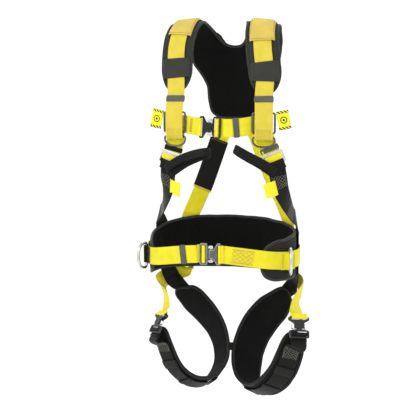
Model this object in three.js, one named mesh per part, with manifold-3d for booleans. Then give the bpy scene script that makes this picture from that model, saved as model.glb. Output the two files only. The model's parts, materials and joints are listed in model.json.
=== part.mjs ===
// Full-body fall-arrest harness with a padded work-positioning belt, held in its worn shape.
// Millimetres. X runs to the wearer's left, Y to the wearer's back, Z up. Points are written from the
// lowest point of the leg loops, and the last group moves the whole harness so that its origin is the
// inside crown of the dorsal D-ring, where the harness hangs.
import * as THREE from 'three';
import Module from 'manifold-3d';
import { mergeVertices } from 'three/addons/utils/BufferGeometryUtils.js';

const wasm = await Module();
wasm.setup();

// Driving dimensions
const WEB = 45; // width of the polyester webbing
const WEB_T = 2; // thickness of the webbing
const GAP = 0.4; // clear space between pieces that rest on each other
const YOKE_T = 12; // thickness of the shoulder and back pads
const BELT_T = 10; // thickness of the belt pad
const LEG_T = 10; // thickness of the leg pads
const DORSAL = [5, 127, 806]; // centre of the dorsal plate
const PLATE = {
  width: 84, height: 92, thickness: 4, corner: 14,
  slotWidth: 52, slotHeight: 5, slots: [-34, -18, 18, 34],
};
const DORSAL_D = { width: 68, depth: 56, rod: 4.5 };
const BELT_D = { width: 74, depth: 46, rod: 4.2 };
const CHEST_D = { width: 60, depth: 30, rod: 2.6 };
const CHEST_RING = { width: 61, height: 56, rod: 2.75, corner: 5 };
const KEEPER = { width: 49, thickness: 7, corner: 1.2, innerWidth: 46.2, innerThickness: 4.4 };
const ADJUSTER = { width: 56, height: 33, thickness: 3, corner: 4, slotWidth: 46.5, slotHeight: 7.5, bar: 5 };
const TAG = { width: 31, height: 40, thickness: 1.2, gap: 3.5 }; // gap: from the square ring to the tag
const BUCKLE = {
  length: 30, // strap end to mouth of the housing
  height: 55,
  mouth: 25, // height of the housing at its mouth
  housingT: 10,
  frame: 24, // mouth to far end of the tongue's frame
  frameT: 5,
  blade: 18, // how far the tongue's blade goes into the housing
  bladeWidth: 12,
  bladeT: 3,
  clearance: 0.5,
};
const CLIP = { inner: 15, length: 13, height: 6.5, thickness: 7, stem: 4, stemDepth: 6.5, travel: 2 };

// Colours, roughness and metalness
function finish(color, roughness, metalness = 0) {
  return new THREE.MeshStandardMaterial({ color, roughness, metalness });
}
const YELLOW = finish(0xede43c, 0.75);
const SLEEVE = finish(0xe3cf62, 0.8);
const YOKE = finish(0x45463f, 0.9);
const BLACK = finish(0x262724, 0.85);
const ELASTIC = finish(0x6b6b66, 0.9);
const TAG_YELLOW = finish(0xf4f000, 0.5);
const CHROME = finish(0xc9c9c6, 0.2, 1);
const DARK_METAL = finish(0x3c3c42, 0.35, 0.9);
const BUCKLE_BLACK = finish(0x1c1d1f, 0.4, 0.6);
const PLASTIC = finish(0x1f2020, 0.6);

const vec = (p) => new THREE.Vector3(...p);

// ---- solids ----

function solid(positions, triangles) {
  const [a, b, c] = [new THREE.Vector3(), new THREE.Vector3(), new THREE.Vector3()];
  let volume = 0;
  for (const [i, j, k] of triangles) {
    volume += a.copy(positions[i]).dot(b.copy(positions[j]).cross(c.copy(positions[k])));
  }
  const ordered = volume < 0 ? triangles.map(([i, j, k]) => [i, k, j]) : triangles;
  const geometry = new THREE.BufferGeometry().setFromPoints(positions);
  geometry.setIndex(ordered.flat());
  return geometry;
}

// A closed body through a row of rings that have the same number of points.
function loft(rings, loop = false) {
  const size = rings[0].length;
  const triangles = [];
  const last = loop ? rings.length : rings.length - 1;
  for (let i = 0; i < last; i += 1) {
    const here = i * size;
    const next = ((i + 1) % rings.length) * size;
    for (let j = 0; j < size; j += 1) {
      const k = (j + 1) % size;
      triangles.push([here + j, here + k, next + k], [here + j, next + k, next + j]);
    }
  }
  if (!loop) {
    const end = (rings.length - 1) * size;
    for (let j = 1; j < size - 1; j += 1) {
      triangles.push([0, j + 1, j], [end, end + j, end + j + 1]);
    }
  }
  return solid(rings.flat(), triangles);
}

function boolean(first, operation, second) {
  const toSolid = (geometry) => {
    const bare = geometry.clone();
    bare.deleteAttribute('normal');
    bare.deleteAttribute('uv');
    const merged = mergeVertices(bare, 1e-4);
    return new wasm.Manifold(new wasm.Mesh({
      numProp: 3,
      vertProperties: new Float32Array(merged.attributes.position.array),
      triVerts: new Uint32Array(merged.index.array),
    }));
  };
  const result = toSolid(first)[operation](toSolid(second)).getMesh();
  const geometry = new THREE.BufferGeometry();
  geometry.setAttribute('position', new THREE.BufferAttribute(new Float32Array(result.vertProperties), 3));
  geometry.setIndex(Array.from(result.triVerts));
  return geometry;
}

const box = (size, centre) => new THREE.BoxGeometry(...size).translate(...centre);
const cut = (body, ...tools) => tools.reduce((rest, tool) => boolean(rest, 'subtract', tool), body);

// ---- routes of straps and pads ----
// A station has a point, the direction its outer face looks in, its width, and a lift from the point.

const at = (point, out, width = WEB, lift = 0) => ({ point: vec(point), out: vec(out), width, lift });

// Stations from two edges, as the leg pads have; `flip` turns the outer face round.
function fromEdges(edges, flip = 1) {
  const middles = edges.map(([a, b]) => vec(a).add(vec(b)).multiplyScalar(0.5));
  return edges.map(([a, b], i) => {
    const ahead = middles[Math.min(i + 1, middles.length - 1)];
    const behind = middles[Math.max(i - 1, 0)];
    const across = vec(a).sub(vec(b));
    const out = ahead.clone().sub(behind).cross(across).multiplyScalar(flip).normalize();
    return { point: middles[i], out, width: across.length(), lift: 0 };
  });
}

// Place on a route at station number `k`, which may be between two stations.
function placeOn(route, k) {
  const spans = route.length - 1;
  const t = Math.min(Math.max(k / spans, 0), 1);
  const middle = new THREE.CatmullRomCurve3(route.map((s) => s.point), false, 'centripetal');
  const faces = route.map((s) => s.out.clone().normalize());
  const outs = new THREE.CatmullRomCurve3(faces, false, 'centripetal');
  const tangent = middle.getTangent(t);
  const out = outs.getPoint(t);
  out.addScaledVector(tangent, -out.dot(tangent)).normalize();
  const i = Math.min(Math.floor(t * spans), spans - 1);
  const part = t * spans - i;
  const between = (key) => THREE.MathUtils.lerp(route[i][key], route[i + 1][key], part);
  const across = new THREE.Vector3().crossVectors(tangent, out).normalize();
  const point = middle.getPoint(t).addScaledVector(out, between('lift'));
  return { point, tangent, out, across, width: between('width') };
}

const flatSection = (width, thickness) => [
  [-width / 2, -thickness / 2], [width / 2, -thickness / 2],
  [width / 2, thickness / 2], [-width / 2, thickness / 2],
];

function padSection(width, thickness) {
  const [w, t, bevel] = [width / 2, thickness / 2, Math.min(thickness * 0.6, width * 0.3)];
  const right = [[w - bevel, -t], [w, -t * 0.4], [w, t * 0.4], [w - bevel, t]];
  return [...right, ...right.map(([x, y]) => [-x, -y])];
}

function ribbon(route, {
  thickness = WEB_T, steps = 3, from = 0, to = route.length - 1, section = flatSection, width = null, lift = 0,
} = {}) {
  const count = Math.max(1, Math.round((to - from) * steps));
  const rings = [];
  for (let i = 0; i <= count; i += 1) {
    const place = placeOn(route, from + ((to - from) * i) / count);
    rings.push(section(width ?? place.width, thickness).map(([x, y]) => place.point.clone()
      .addScaledVector(place.across, x)
      .addScaledVector(place.out, y + lift)));
  }
  return loft(rings);
}

// ---- bars bent into rings ----

function bentBar(points, rod, sides = 8) {
  const rings = points.map(([x, y], i) => {
    const [px, py] = points[(i + points.length - 1) % points.length];
    const [nx, ny] = points[(i + 1) % points.length];
    const side = new THREE.Vector2(ny - py, px - nx).normalize();
    return Array.from({ length: sides }, (_, j) => {
      const angle = ((j + 0.5) / sides) * 2 * Math.PI;
      const r = rod / Math.cos(Math.PI / sides);
      const reach = r * Math.cos(angle);
      return new THREE.Vector3(x + side.x * reach, y + side.y * reach, r * Math.sin(angle));
    });
  });
  return loft(rings, true);
}

// A D-ring in its own XY plane: its straight bar lies on the X axis and its crown points along +Y.
function dRing({ width, depth, rod }) {
  const half = width / 2 - rod;
  const reach = depth - 2 * rod;
  const arc = 20;
  const points = [];
  for (let i = 0; i <= arc; i += 1) {
    const angle = (i / arc) * Math.PI;
    const squareness = 0.75;
    const c = Math.sign(Math.cos(angle)) * Math.abs(Math.cos(angle)) ** squareness;
    points.push([half * c, rod * 1.2 + (reach - rod * 1.2) * Math.sin(angle) ** squareness]);
  }
  points.push([-half + rod * 0.7, 0], [0, 0], [half - rod * 0.7, 0]);
  return bentBar(points, rod);
}

function squareRing({ width, height, rod, corner }) {
  const [w, h] = [width / 2 - rod, height / 2 - rod];
  const points = [];
  [[1, 1], [-1, 1], [-1, -1], [1, -1]].forEach(([sx, sy], quarter) => {
    for (let i = 0; i <= 3; i += 1) {
      const angle = (quarter + i / 3) * (Math.PI / 2);
      const [c, d] = [Math.cos(angle), Math.sin(angle)];
      points.push([sx * (w - corner) + corner * c, sy * (h - corner) + corner * d]);
    }
  });
  return bentBar(points, rod);
}

// ---- plates with slots ----

function roundedShape(width, height, radius) {
  const [w, h] = [width / 2, height / 2];
  const shape = new THREE.Shape();
  shape.moveTo(w - radius, -h);
  shape.absarc(w - radius, -h + radius, radius, -Math.PI / 2, 0);
  shape.absarc(w - radius, h - radius, radius, 0, Math.PI / 2);
  shape.absarc(-w + radius, h - radius, radius, Math.PI / 2, Math.PI);
  shape.absarc(-w + radius, -h + radius, radius, Math.PI, 1.5 * Math.PI);
  return shape;
}

// A cutter for a slot that goes right through a plate in the XY plane.
const SLOT_DEPTH = 40;
const slot = (width, height, x = 0, y = 0) => box([width, height, SLOT_DEPTH], [x, y, 0]);

function plate(shape, depth, curveSegments = 4) {
  const body = new THREE.ExtrudeGeometry(shape, { depth, bevelEnabled: false, curveSegments });
  return body.translate(0, 0, -depth / 2);
}

function adjusterPlate() {
  const blank = plate(roundedShape(ADJUSTER.width, ADJUSTER.height, ADJUSTER.corner), ADJUSTER.thickness);
  const offset = (ADJUSTER.slotHeight + ADJUSTER.bar) / 2;
  return cut(blank, ...[-offset, offset].map((y) => slot(ADJUSTER.slotWidth, ADJUSTER.slotHeight, 0, y)));
}

function dorsalPlate() {
  const blank = plate(roundedShape(PLATE.width, PLATE.height, PLATE.corner), PLATE.thickness);
  return cut(blank, ...PLATE.slots.map((y) => slot(PLATE.slotWidth, PLATE.slotHeight, 0, y)));
}

// A keeper is a flat tube of elastic round one or two layers of webbing.
function keeperTube(length) {
  const blank = plate(roundedShape(KEEPER.width, KEEPER.thickness, KEEPER.corner), length, 2);
  return cut(blank, slot(KEEPER.innerWidth, KEEPER.innerThickness));
}

// ---- quick-connect buckle: X is the way the tongue pulls out, Y is across the strap, Z is outwards ----

const polygon = (points) => new THREE.Shape(points.map(([x, y]) => new THREE.Vector2(x, y)));

function buckleHousing() {
  const [half, mouth, back] = [BUCKLE.height / 2, BUCKLE.mouth / 2, -BUCKLE.length];
  const outline = [[back, -half + 3], [back + 3, -half], [back + 9, -half], [-13, -mouth], [0, -mouth]];
  const shape = polygon([...outline, ...outline.map(([x, y]) => [x, -y]).reverse()]);
  const strapSlot = slot(4.5, WEB + 1, back + 5.5);
  const { bladeWidth, bladeT, clearance, blade } = BUCKLE;
  const cavitySize = [blade + 3, bladeWidth + 2 * clearance, bladeT + 2 * clearance];
  const cavity = box(cavitySize, [-(blade + 1) / 2 + 1, 0, 0]);
  const sockets = [-1, 1].map((side) => box(
    [CLIP.stem + 2 * clearance, CLIP.stemDepth, CLIP.stem + 2 * clearance],
    [-6, side * (mouth - CLIP.stemDepth / 2 + 0.01), 0],
  ));
  return cut(plate(shape, BUCKLE.housingT), strapSlot, cavity, ...sockets);
}

function buckleTongue() {
  const [half, end] = [BUCKLE.height / 2, BUCKLE.frame];
  const neck = BUCKLE.bladeWidth / 2;
  const outline = [[1, -neck], [4, -half + 4], [6, -half], [end - 3, -half], [end, -half + 3]];
  const shape = polygon([...outline, ...outline.map(([x, y]) => [x, -y]).reverse()]);
  const slots = [9.6, 18.2].map((x) => slot(4.6, WEB + 1.5, x));
  const blade = box([BUCKLE.blade + 3, BUCKLE.bladeWidth, BUCKLE.bladeT], [-(BUCKLE.blade - 3) / 2, 0, 0]);
  return boolean(cut(plate(shape, BUCKLE.frameT), ...slots), 'add', blade);
}

// One release clip; `side` is +1 for the one on +Y. Its stem slides in the housing's socket.
function buckleClip(side) {
  const { inner, length, height, thickness, stem, travel } = CLIP;
  const grip = polygon([
    [-length + 1, inner], [-length + 3, inner + height - 1], [-1, inner + height],
    [1.5, inner + height - 3], [1.5, inner],
  ].map(([x, y]) => [x, side * y]));
  const depth = CLIP.stemDepth - travel - BUCKLE.clearance;
  const reach = inner - BUCKLE.mouth / 2 + depth + 1;
  const post = box([stem, reach, stem], [-6, side * (inner + 1 - reach / 2), 0]);
  return boolean(plate(grip, thickness), 'add', post);
}

// ---- assembly ----

const harness = new THREE.Group();
const group = new THREE.Group();
group.add(harness);

function add(name, geometry, material, parent = harness) {
  const mesh = new THREE.Mesh(geometry, material);
  mesh.name = name;
  parent.add(mesh);
  return mesh;
}

// A nested group whose X, Y and Z axes are the given directions.
function frameAt(point, x, z) {
  const frame = new THREE.Group();
  const axisX = vec(x).normalize();
  const axisZ = vec(z).addScaledVector(axisX, -vec(z).dot(axisX)).normalize();
  const axisY = new THREE.Vector3().crossVectors(axisZ, axisX);
  frame.position.copy(vec(point));
  frame.setRotationFromMatrix(new THREE.Matrix4().makeBasis(axisX, axisY, axisZ));
  harness.add(frame);
  return frame;
}

// The same frame, on a route: X across the strap, Y along it, Z outwards.
function frameOnRoute(route, k, out = 0) {
  const place = placeOn(route, k);
  const point = place.point.addScaledVector(place.out, out);
  return frameAt(point.toArray(), place.across.toArray(), place.out.toArray());
}

function addKeeper(name, route, k, length, material) {
  const keeper = keeperTube(length).rotateX(Math.PI / 2);
  add(name, keeper, material, frameOnRoute(route, k));
}

function addBuckle(names, mouth, pull, out) {
  const frame = frameAt(mouth, pull, out);
  add(names.housing, buckleHousing(), BUCKLE_BLACK, frame);
  add(names.tongue, buckleTongue(), BUCKLE_BLACK, frame);
  names.clips.forEach((name, i) => add(name, buckleClip(i ? -1 : 1), CHROME, frame));
}

// ---- yoke: back pad, shoulder pads, and what lies on them ----

const SPINE = [
  at([5, 114, 728], [0, 1, 0], 96), at([5, 114, 738], [0, 1, 0], 132), at([5, 113, 752], [0, 1, 0], 146),
  at([5, 112, 780], [0, 1, 0.05], 152), at([5, 109, 812], [0, 1, 0.1], 158),
  at([5, 106, 838], [0, 1, 0.15], 182),
  at([5, 102, 868], [0, 1, 0.2], 230), at([5, 97, 908], [0, 1, 0.2], 244),
  at([5, 92, 930], [0, 1, 0.2], 246),
];
const JOIN = 916; // height at which the back pad meets the shoulder pads
const backHalf = (z) => box([600, 120, 200], [0, 110, z]); // a block behind the shoulders, centred at a height
const spinePad = ribbon(SPINE, { thickness: YOKE_T, section: padSection, steps: 2 });
add('back_pad', cut(spinePad, backHalf(JOIN + 100)), YOKE);

const SHOULDER = {
  right: [
    at([-54, 103, 868], [0, 1, 0.2], 104), at([-66, 96, 910], [-0.05, 1, 0.2], 100),
    at([-84, 82, 936], [-0.1, 0.9, 0.5], 88),
    at([-96, 48, 963], [-0.1, 0.5, 0.9], 84), at([-101, 0, 974], [-0.1, -0.1, 1], 86),
    at([-108, -32, 951], [-0.15, -0.75, 0.6], 83), at([-114, -48, 916], [-0.15, -0.95, 0.3], 81),
    at([-114, -60, 878], [-0.12, -1, 0.2], 81), at([-112, -68, 842], [-0.1, -1, 0.2], 77),
    at([-112, -74, 817], [-0.1, -1, 0.2], 58), at([-112, -78, 801], [-0.1, -1, 0.2], 24),
  ],
  left: [
    at([64, 103, 868], [0, 1, 0.2], 104), at([76, 96, 910], [0.05, 1, 0.2], 100),
    at([84, 82, 936], [0.1, 0.9, 0.5], 96),
    at([91, 48, 962], [0.1, 0.5, 0.9], 88), at([96, 0, 973], [0.1, -0.1, 1], 84),
    at([99, -32, 950], [0.1, -0.75, 0.6], 82), at([103, -48, 914], [0.12, -0.95, 0.3], 82),
    at([109, -60, 876], [0.12, -1, 0.2], 81), at([114, -69, 838], [0.15, -1, 0.2], 77),
    at([115, -75, 814], [0.15, -1, 0.2], 60), at([114, -79, 797], [0.15, -1, 0.2], 24),
  ],
};
const ON_YOKE = YOKE_T / 2 + 3 * GAP + WEB_T / 2; // lift of the webbing that lies on the yoke
const COVER_LIFT = WEB_T + 3 * GAP; // lift of the sleeve over the webbing
const SHOULDER_BULGE = { start: 3.5, fall: 1.5 }; // how the webbing stands off the pad behind the shoulder

// Chest hardware: a square ring on each side, turned a little towards the side it is on.
const CHEST = {
  right: { centre: [-110, -100, 727], across: [1, -0.1, 0] },
  left: { centre: [116, -98, 727], across: [1, 0.2, 0] },
};
const LAYER = { front: 5.4, chest: -4.6, foldBack: -8.6, rib: -12 }; // outwards from the square ring's plane

function chestPoint(side, x, y, z) {
  const { centre, across } = CHEST[side];
  const u = vec(across).normalize();
  const out = new THREE.Vector3(u.y, -u.x, 0);
  return vec(centre).addScaledVector(u, x).addScaledVector(out, z).add(new THREE.Vector3(0, 0, y)).toArray();
}

const chestOut = (side) => [CHEST[side].across[1], -1, 0];
const FOLD = { y: -34.5, radius: (LAYER.front - LAYER.foldBack) / 2 };

// Yellow shoulder webbing: dorsal plate, over the shoulder, down to the fold below the square ring.
function shoulderRoute(side) {
  const s = side === 'right' ? -1 : 1;
  const layer = side === 'right' ? 0 : COVER_LIFT;
  const onPad = SHOULDER[side].slice(1, 9).map((station, i) => {
    const bulge = Math.max(SHOULDER_BULGE.start - SHOULDER_BULGE.fall * i, 0);
    return { ...station, width: WEB, lift: ON_YOKE + bulge };
  });
  const [x0, , z0] = DORSAL;
  const foldMid = (LAYER.front + LAYER.foldBack) / 2;
  const fold = [0, 0.25, 0.5, 0.75, 1].map((part) => {
    const angle = part * Math.PI;
    const [c, d] = [Math.cos(angle), Math.sin(angle)];
    const point = chestPoint(side, 0, FOLD.y - FOLD.radius * d, foldMid + FOLD.radius * c);
    return at(point, vec(chestOut(side)).multiplyScalar(c).add(new THREE.Vector3(0, 0, -d)).toArray());
  });
  return [
    at([x0 + s * 2, 110, z0 + 6], [0, 1, 0.1], WEB, ON_YOKE + layer),
    at([x0 + s * 30, 106, z0 + 48], [0, 1, 0.2], WEB, ON_YOKE + layer),
    ...onPad,
    at(chestPoint(side, 0, 66, 9 - 17), [s * 0.1, -1, 0.3]),
    at(chestPoint(side, 0, 38, LAYER.front - 2), chestOut(side)),
    at(chestPoint(side, 0, 15, LAYER.front), chestOut(side)),
    ...fold,
    at(chestPoint(side, 0, 12, LAYER.foldBack), chestOut(side).map((v) => -v)),
  ];
}
const STRAP = { right: shoulderRoute('right'), left: shoulderRoute('left') };
const COVER = { right: { from: 3, to: 19 / 3, width: 63 }, left: { from: 3, to: 20 / 3, width: 63 } };

for (const side of ['right', 'left']) {
  const shoulderPad = ribbon(SHOULDER[side], { thickness: YOKE_T, section: padSection });
  add(`shoulder_pad_${side}`, cut(shoulderPad, backHalf(JOIN + GAP - 100)), YOKE);
  add(`shoulder_strap_${side}`, ribbon(STRAP[side]), YELLOW);
  add(`shoulder_sleeve_${side}`, ribbon(STRAP[side], { ...COVER[side], lift: COVER_LIFT }), SLEEVE);
  addKeeper(`shoulder_keeper_${side}`, STRAP[side], 10.25, 16, ELASTIC);

  const { centre, across } = CHEST[side];
  const ring = frameAt(centre, across, chestOut(side));
  add(`chest_ring_${side}`, squareRing(CHEST_RING), DARK_METAL, ring);
  const inFold = chestPoint(side, 0, FOLD.y, (LAYER.front + LAYER.foldBack) / 2);
  const d = frameAt(inFold, across, chestOut(side));
  add(`chest_d_ring_${side}`, dRing(CHEST_D).rotateX(Math.PI), DARK_METAL, d);

  const s = side === 'right' ? -1 : 1;
  const hinge = s * (CHEST_RING.width / 2 + TAG.gap);
  const tag = frameAt(chestPoint(side, hinge, 5, 0), [s, 0.25, 0.2], chestOut(side));
  const film = box([TAG.width, TAG.height, TAG.thickness], [TAG.width / 2, 0, 0]);
  add(`ring_tag_${side}`, film, TAG_YELLOW, tag);
}

// ---- dorsal plate and D-ring ----

const dorsal = frameAt(DORSAL, [1, 0, 0], [0, 1, 0.08]);
add('dorsal_plate', dorsalPlate(), PLASTIC, dorsal);
const DORSAL_BAR = [DORSAL[0], DORSAL[1] + PLATE.thickness / 2 + DORSAL_D.rod + GAP + 1, DORSAL[2] + 2];
const dorsalRing = frameAt(DORSAL_BAR, [1, 0, 0], [0, -1, 0.35]);
add('dorsal_ring', dRing(DORSAL_D), CHROME, dorsalRing);

// ---- chest strap and its buckle ----

const CHEST_MOUTH = [-12, -118, 716];
const CHEST_PULL = [1, 0, -0.04];
addBuckle({
  housing: 'chest_buckle_housing',
  tongue: 'chest_buckle_tongue',
  clips: ['chest_clip_upper', 'chest_clip_lower'],
}, CHEST_MOUTH, CHEST_PULL, [0, -1, 0]);
const RIGHT_CHEST = [
  at(chestPoint('right', 10, -4, LAYER.chest - 0.4), [-0.1, -1, 0]),
  at(chestPoint('right', 26, -5, LAYER.chest - 0.8), [-0.1, -1, 0]),
  at([-66, -106, 720], [-0.3, -1, 0]), at([-43, -117, 717.5], [-0.2, -1, 0]),
];
const LEFT_CHEST = [
  at([CHEST_MOUTH[0] + BUCKLE.frame + 2, -118, 714.6], [0, -1, 0]), at([36, -117.5, 715], [0.05, -1, 0]),
  at([62, -113, 717], [0.25, -1, 0]), at(chestPoint('left', -28, -6, LAYER.chest - 0.6), [0.25, -1, 0]),
  at(chestPoint('left', -8, -4, LAYER.chest), [0.2, -1, 0]),
];
add('chest_strap_right', ribbon(RIGHT_CHEST, { to: 2.95 }), YELLOW);
add('chest_strap_left', ribbon(LEFT_CHEST), YELLOW);
addKeeper('chest_keeper', LEFT_CHEST, 1.55, 15, ELASTIC);

// ---- sides: webbing from the chest rings to the adjusters, and the black side straps ----

// Plan of the belt pad's middle surface, from its end by the right ring round the back to the left front,
// with the middle height and the height of the pad at each point.
const BELT = [
  [-176, -64, 372, 44], [-188, -44, 372, 80], [-197, -10, 372, 96], [-200, 40, 376, 110], [-177, 88, 383, 126],
  [-130, 117, 389, 136], [-70, 132, 392, 140], [-5, 136, 393, 140], [60, 130, 392, 140], [112, 111, 389, 136],
  [150, 84, 386, 130], [173, 46, 384, 120], [179, 4, 382, 113], [166, -38, 378, 108], [142, -68, 377, 103],
  [122, -86, 378, 84], [112, -93, 379, 46],
];
const beltPlanPoints = BELT.map(([x, y]) => new THREE.Vector3(x, y, 0));
const beltPlan = new THREE.CatmullRomCurve3(beltPlanPoints, false, 'centripetal');
const ON_BELT = BELT_T / 2 + 3 * GAP + WEB_T / 2; // first layer of webbing on the belt pad
const BELT_LAYER = WEB_T + 3 * GAP; // each further layer

// A station on the belt pad: `k` counts along BELT, `layer` counts the layers of webbing under it.
function onBelt(k, z, layer, width = WEB, tilt = 0) {
  const t = k / (BELT.length - 1);
  const point = beltPlan.getPoint(t);
  const tangent = beltPlan.getTangent(t);
  return at([point.x, point.y, z], [-tangent.y, tangent.x, tilt], width, ON_BELT + layer * BELT_LAYER);
}

add('belt_pad', ribbon(BELT.map(([x, y, z, height], k) => ({ ...onBelt(k, z, 0, height), lift: 0 })), {
  thickness: BELT_T, section: padSection, steps: 2,
}), YOKE);

const RIB = {
  right: [
    at(chestPoint('right', 0, 10, LAYER.rib), [-0.1, -1, 0]),
    at(chestPoint('right', -1, -28, LAYER.rib), [-0.1, -1, 0]),
    at([-115, -88, 665], [-0.1, -1, 0]), at([-123, -89, 637], [-0.12, -1, 0.1]),
    at([-127, -89, 624], [-0.15, -1, 0.1]),
  ],
  left: [
    at(chestPoint('left', 0, 10, LAYER.rib), [0.2, -1, 0]),
    at(chestPoint('left', 1, -28, LAYER.rib), [0.2, -1, 0]),
    at([126, -84, 668], [0.2, -1, 0]), at([138, -82, 640], [0.25, -1, 0.1]),
    at([143, -81, 627], [0.25, -1, 0.1]),
  ],
};
const SIDE = {
  right: [
    at([-129, -89, 617], [-0.2, -1, 0.1]), at([-133, -83, 590], [-0.35, -1, 0.1]),
    at([-136, -74, 560], [-0.5, -0.9, 0.1]),
    at([-148, -52, 527], [-0.75, -0.65, 0.1]), at([-168, -10, 495], [-0.95, -0.3, 0.1]),
    at([-190, 34, 471], [-1, 0.1, 0.1]),
    onBelt(3.6, 450, 0), onBelt(3.85, 415, 0), onBelt(4.0, 370, 0), onBelt(4.05, 318, 0),
    at([-170, 100, 291], [-0.7, 0.8, 0]),
  ],
  left: [
    at([145, -80, 620], [0.3, -1, 0.1]), at([150, -76, 592], [0.45, -1, 0.1]),
    at([155, -68, 562], [0.6, -0.9, 0.1]),
    at([165, -45, 527], [0.85, -0.6, 0.1]), at([174, -10, 495], [1, -0.2, 0.1]),
    at([180, 30, 468], [1, 0.2, 0.1]),
    onBelt(11.1, 447, 0), onBelt(11.0, 415, 0), onBelt(10.95, 370, 0), onBelt(10.9, 318, 0),
    at([168, 72, 291], [0.7, 0.6, 0]),
  ],
};
const ADJUSTER_OUT = WEB_T / 2 + GAP + ADJUSTER.thickness / 2;

const LOOP = {
  right: [
    at([-131, -108.5, 610], [-0.4, -1, 0.2]), at([-108, -117, 627], [-0.3, -1, 0.3]),
    at([-80, -124, 641], [-0.2, -1, 0.3]),
    at([-50, -130, 651], [-0.1, -1, 0.3]), at([-24, -131, 656], [0.2, -1, 0.3]),
    at([-14, -124, 655], [1, 0, 0.2]),
    at([-24, -116, 649], [0.2, 1, -0.1]), at([-50, -110, 639], [0.1, 1, -0.1]),
    at([-80, -106, 625], [0.1, 1, 0]),
    at([-107, -104, 607], [0.1, 1, 0]), at([-126, -102, 593], [0.1, 1, 0]),
  ],
  left: [
    at([147, -96, 606], [0.5, -1, 0.2]), at([128, -107, 621], [0.4, -1, 0.3]),
    at([104, -118, 636], [0.3, -1, 0.3]),
    at([78, -126, 650], [0.2, -1, 0.3]), at([57, -130, 662], [0, -1, 0.4]),
    at([48, -124, 665], [-1, 0, 0.3]),
    at([58, -116, 655], [-0.2, 1, -0.1]), at([80, -109, 641], [-0.2, 1, -0.1]),
    at([104, -102, 627], [-0.2, 1, 0]),
    at([126, -95, 612], [-0.2, 1, 0]), at([142, -90, 600], [-0.3, 1, 0]),
  ],
};
const LOOP_WIDTH = 22; // webbing folded in half lengthways
const LOOP_T = 4.4;

for (const side of ['right', 'left']) {
  add(`rib_strap_${side}`, ribbon(RIB[side]), YELLOW);
  addKeeper(`side_keeper_${side}`, RIB[side], 2.2, 12, side === 'right' ? BLACK : ELASTIC);
  add(`side_adjuster_${side}`, adjusterPlate(), CHROME, frameOnRoute(RIB[side], 3.05, ADJUSTER_OUT + 2 * GAP));
  add(`side_strap_${side}`, ribbon(SIDE[side], { steps: 3 }), BLACK);
  add(`front_loop_${side}`, ribbon(LOOP[side], { width: LOOP_WIDTH, thickness: LOOP_T }), BLACK);
}

// ---- back straps, down and out from the dorsal plate and outside the belt pad ----

const BACK = {
  right: [
    at([2, 111, 795], [0, 1, 0], WEB, ON_YOKE + COVER_LIFT),
    at([-16, 115, 745], [0, 1, 0], WEB, ON_YOKE + COVER_LIFT),
    at([-43, 121, 668], [0, 1, 0]), at([-67, 123, 600], [-0.05, 1, 0]), at([-92, 124, 533], [-0.1, 1, 0]),
    at([-112, 132, 490], [-0.3, 1, 0]), onBelt(5.15, 460, 1), onBelt(5.08, 440, 1), onBelt(5, 385, 1),
    onBelt(4.95, 330, 1),
  ],
  left: [
    at([8, 111, 795], [0, 1, 0], WEB, ON_YOKE), at([27, 114, 745], [0, 1, 0], WEB, ON_YOKE),
    at([41, 116, 714], [0, 1, 0], WEB, ON_YOKE), at([62, 118, 672], [0.05, 1, 0]),
    at([88, 117, 603], [0.1, 1, 0]),
    at([112, 114, 547], [0.15, 1, 0]), at([136, 108, 495], [0.4, 1, 0]), onBelt(9.75, 458, 1),
    onBelt(9.8, 438, 1),
    onBelt(9.8, 385, 1), onBelt(9.8, 332, 1),
  ],
};
const HIP = {
  right: [
    onBelt(4.95, 319, 1), onBelt(4.9, 312, 1.3), at([-170, 121, 297], [-0.6, 0.8, 0.1]),
    at([-197, 88, 284], [-1, 0.4, 0.1]),
    at([-181, 38, 272], [-1, 0.1, 0.2]), at([-170, -4, 254], [-0.8, -0.5, 0.4]),
    at([-163, -36, 238], [-0.75, -0.6, 0.3]),
    at([-161, -50, 229], [-0.75, -0.62, 0.3]),
  ],
  left: [
    onBelt(9.8, 319, 1), onBelt(9.85, 312, 1.3), at([178, 92, 298], [0.8, 0.6, 0.1]),
    at([195, 48, 287], [1, 0.1, 0.1]),
    at([194, 4, 276], [1, -0.2, 0.1]), at([201, -38, 258], [0.75, -0.7, 0.2]),
    at([206, -66, 246], [0.6, -0.8, 0.1]),
    at([207, -76, 240], [0.6, -0.8, 0.1]),
  ],
};
for (const side of ['right', 'left']) {
  add(`back_strap_${side}`, ribbon(BACK[side], { from: 0.05 }), YELLOW);
  add(`hip_strap_${side}`, ribbon(HIP[side], { from: 0.25 }), YELLOW);
}
add('label_sleeve', ribbon(BACK.right, { from: 2, to: 4, width: 51, lift: -COVER_LIFT }), BLACK);

// ---- belt webbing, rings and buckle ----

const BELT_MOUTH = [-15, -130, 400];
const BELT_LEFT = [
  at([19, -129, 400], [0, -1, 0]), at([62, -117, 394], [0.25, -1, 0]), onBelt(15, 384, 0.5),
  onBelt(14, 380, 0), onBelt(13, 377, 0),
  onBelt(12, 377, 1), onBelt(11, 380, 2.2), onBelt(10, 384, 3.1), onBelt(9, 386, 2.6), onBelt(8, 387, 2),
  onBelt(7, 387, 2),
  onBelt(6, 387, 2), onBelt(5, 386, 2.4), onBelt(4, 384, 2.4), onBelt(3, 381, 2), onBelt(2.2, 378, 1),
  onBelt(1.6, 377, 0),
];
const BELT_RIGHT = [
  onBelt(1.5, 377, 0), onBelt(0.6, 378, 0.3), at([-166, -85, 381], [-0.65, -0.8, 0]),
  at([-128, -106, 388], [-0.4, -1, 0]),
  at([-84, -121, 395], [-0.25, -1, 0]), at([-41, -129, 399.5], [-0.1, -1, 0]),
];
add('belt_strap_left', ribbon(BELT_LEFT, { steps: 4 }), YELLOW);
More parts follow.
